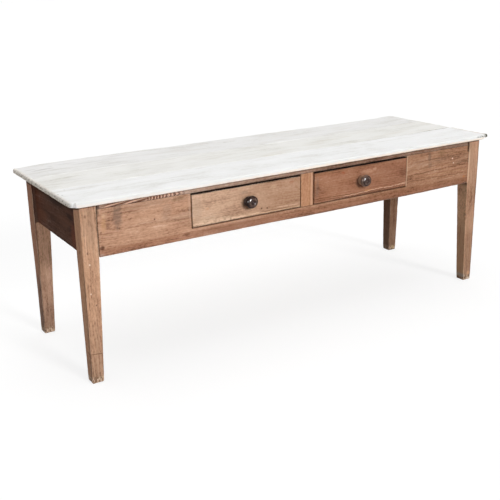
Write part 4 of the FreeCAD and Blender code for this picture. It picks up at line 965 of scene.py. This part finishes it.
# Drawer fronts: the joinery behind, and a worn face over it as thick as the laps of the dovetails

FACE_THICK = 5


def bitten(place, edge):
    """Lower edges are worn away most in the middle stretch, and along the right drawer."""
    if edge != "-y-z":
        return 1
    worn_part = rise(-260, -330, place.x) if place.x < 0 else rise(150, 240, place.x)
    return 0.45 + worn_part * (0.6 + 0.9 * max(0, noise.noise(place * 0.02)))


def joinery(node, cut):
    """What is behind the cut of a node's own solid, in mm, closed where it is cut."""
    body = bmesh.new()
    body.from_mesh(nodes[node].data)
    bmesh.ops.remove_doubles(body, verts=body.verts, dist=1e-6)
    sliced = bmesh.ops.bisect_plane(body, geom=body.verts[:] + body.edges[:] + body.faces[:], dist=1e-7,
                                    plane_co=(0, cut * MM, 0), plane_no=(0, -1, 0), clear_outer=True)
    edges = [item for item in sliced["geom_cut"] if isinstance(item, bmesh.types.BMEdge)]
    bmesh.ops.triangle_fill(body, use_beauty=True, edges=edges, normal=(0, -1, 0))
    mesh = bpy.data.meshes.new(node + "_joinery")
    body.to_mesh(mesh)
    body.free()
    mesh.materials.clear()
    return mesh


for seed, side in enumerate(("left", "right"), 11):
    node, body = f"drawer_{side}_front", "drawer_" + side
    low, high = (Vector(corner) * 1000 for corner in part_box(node))
    cut = low.y + FACE_THICK
    stand(node + "_joinery", joinery(node, cut), node, node, body)
    worn(node + "_face", node, low, (high.x, cut, high.z), node, "drawer_front", body=body,
         rounds={"-y-z": 4.2, "-y+z": 1.6, "-x-y": 1.8, "+x-y": 2}, plain=0.3, step=7, seed=seed,
         waves=0.25, chips=1.6, ease=bitten)

# Floor: white to the camera and in reflections, with the table's shadow

REACH = 40


def grey(level):
    return (level, level, level, 1)


def seen_directly(tree):
    """1 for the camera's rays and for those of gloss and glass."""
    new, link = tree.nodes.new, tree.links.new
    path = new("ShaderNodeLightPath")
    total = path.outputs["Is Camera Ray"]
    for name in ("Is Glossy Ray", "Is Transmission Ray"):
        either = new("ShaderNodeMath")
        either.use_clamp = True
        link(total, either.inputs[0])
        link(path.outputs[name], either.inputs[1])
        total = either.outputs[0]
    return total


def two_ways(tree, unseen, seen, output):
    """One shader for light on its way, and another for what the camera and reflections see."""
    link, choice = tree.links.new, tree.nodes.new("ShaderNodeMixShader")
    link(seen_directly(tree), choice.inputs[0])
    link(unseen.outputs[0], choice.inputs[1])
    link(seen.outputs[0], choice.inputs[2])
    link(choice.outputs[0], output.inputs["Surface"])


floor_mesh = bpy.data.meshes.new("floor")
floor_mesh.from_pydata([(-REACH, -REACH, 0), (REACH, -REACH, 0), (REACH, REACH, 0), (-REACH, REACH, 0)], [],
                       [(0, 1, 2, 3)])
floor = add("floor", floor_mesh)

floor_paint = bpy.data.materials.new("floor_white")
floor_paint.use_nodes = True
floor_mesh.materials.append(floor_paint)
tree = floor_paint.node_tree
tree.nodes.clear()
seen, bounce = (tree.nodes.new("ShaderNodeBsdfDiffuse") for _ in range(2))
seen.inputs["Color"].default_value = grey(0.25)
bounce.inputs["Color"].default_value = grey(0.5)
glow = tree.nodes.new("ShaderNodeEmission")
glow.inputs["Strength"].default_value = 0.78
both = tree.nodes.new("ShaderNodeAddShader")
tree.links.new(seen.outputs[0], both.inputs[0])
tree.links.new(glow.outputs[0], both.inputs[1])
two_ways(tree, bounce, both, tree.nodes.new("ShaderNodeOutputMaterial"))

# Studio: even light, a soft key in front, a wide light overhead, and softboxes that show in gloss only

world = bpy.data.worlds.new("studio")
bpy.context.scene.world = world
world.use_nodes = True
tree = world.node_tree
fill, white = tree.nodes["Background"], tree.nodes.new("ShaderNodeBackground")
for shade, strength in ((fill, 0.34), (white, 1)):
    shade.inputs["Color"].default_value = grey(1)
    shade.inputs["Strength"].default_value = strength
two_ways(tree, fill, white, tree.nodes["World Output"])

for name, energy, angle, direction, gleam in (
        ("key", 1.95, 14, (0.22, -0.9, 0.36), False), ("overhead", 1.3, 60, (0.05, 0.1, 1), False),
        ("front_gleam", 17, 22, (-0.1, -0.96, 0.25), True),
        ("side_gleam", 10, 50, (-0.95, -0.25, -0.1), True)):
    sun = bpy.data.lights.new(name, "SUN")
    sun.energy = energy
    sun.angle = math.radians(angle)
    lamp = add(name, sun)
    lamp.rotation_euler = Vector(direction).to_track_quat("Z", "Y").to_euler()
    lamp.visible_diffuse, lamp.visible_glossy = not gleam, gleam

# Camera, fitted to measured corners of the photo. Focal length and middle are in pixels of its frame.

PIXELS, FOCAL, MIDDLE = 500, 834.13, (232.35, 232.74)
SENSOR = 36
PLACE = (-2.12741, -3.25414, 1.61737)
AZIMUTH, DOWN, ROLL = 30.72, 17.84, 1.27

lens = bpy.data.cameras.new("camera")
lens.sensor_width = SENSOR
lens.lens = SENSOR * FOCAL / PIXELS
lens.shift_x = (PIXELS / 2 - MIDDLE[0]) / PIXELS
lens.shift_y = (MIDDLE[1] - PIXELS / 2) / PIXELS
lens.clip_end = 200
camera = add("camera", lens)
camera.matrix_world = Matrix.Translation(PLACE)
for degrees, axis in ((-AZIMUTH, "Z"), (90 - DOWN, "X"), (-ROLL, "Z")):
    camera.matrix_world = camera.matrix_world @ Matrix.Rotation(math.radians(degrees), 4, axis)
bpy.context.scene.camera = camera
bpy.context.scene.view_settings.view_transform = "Standard"
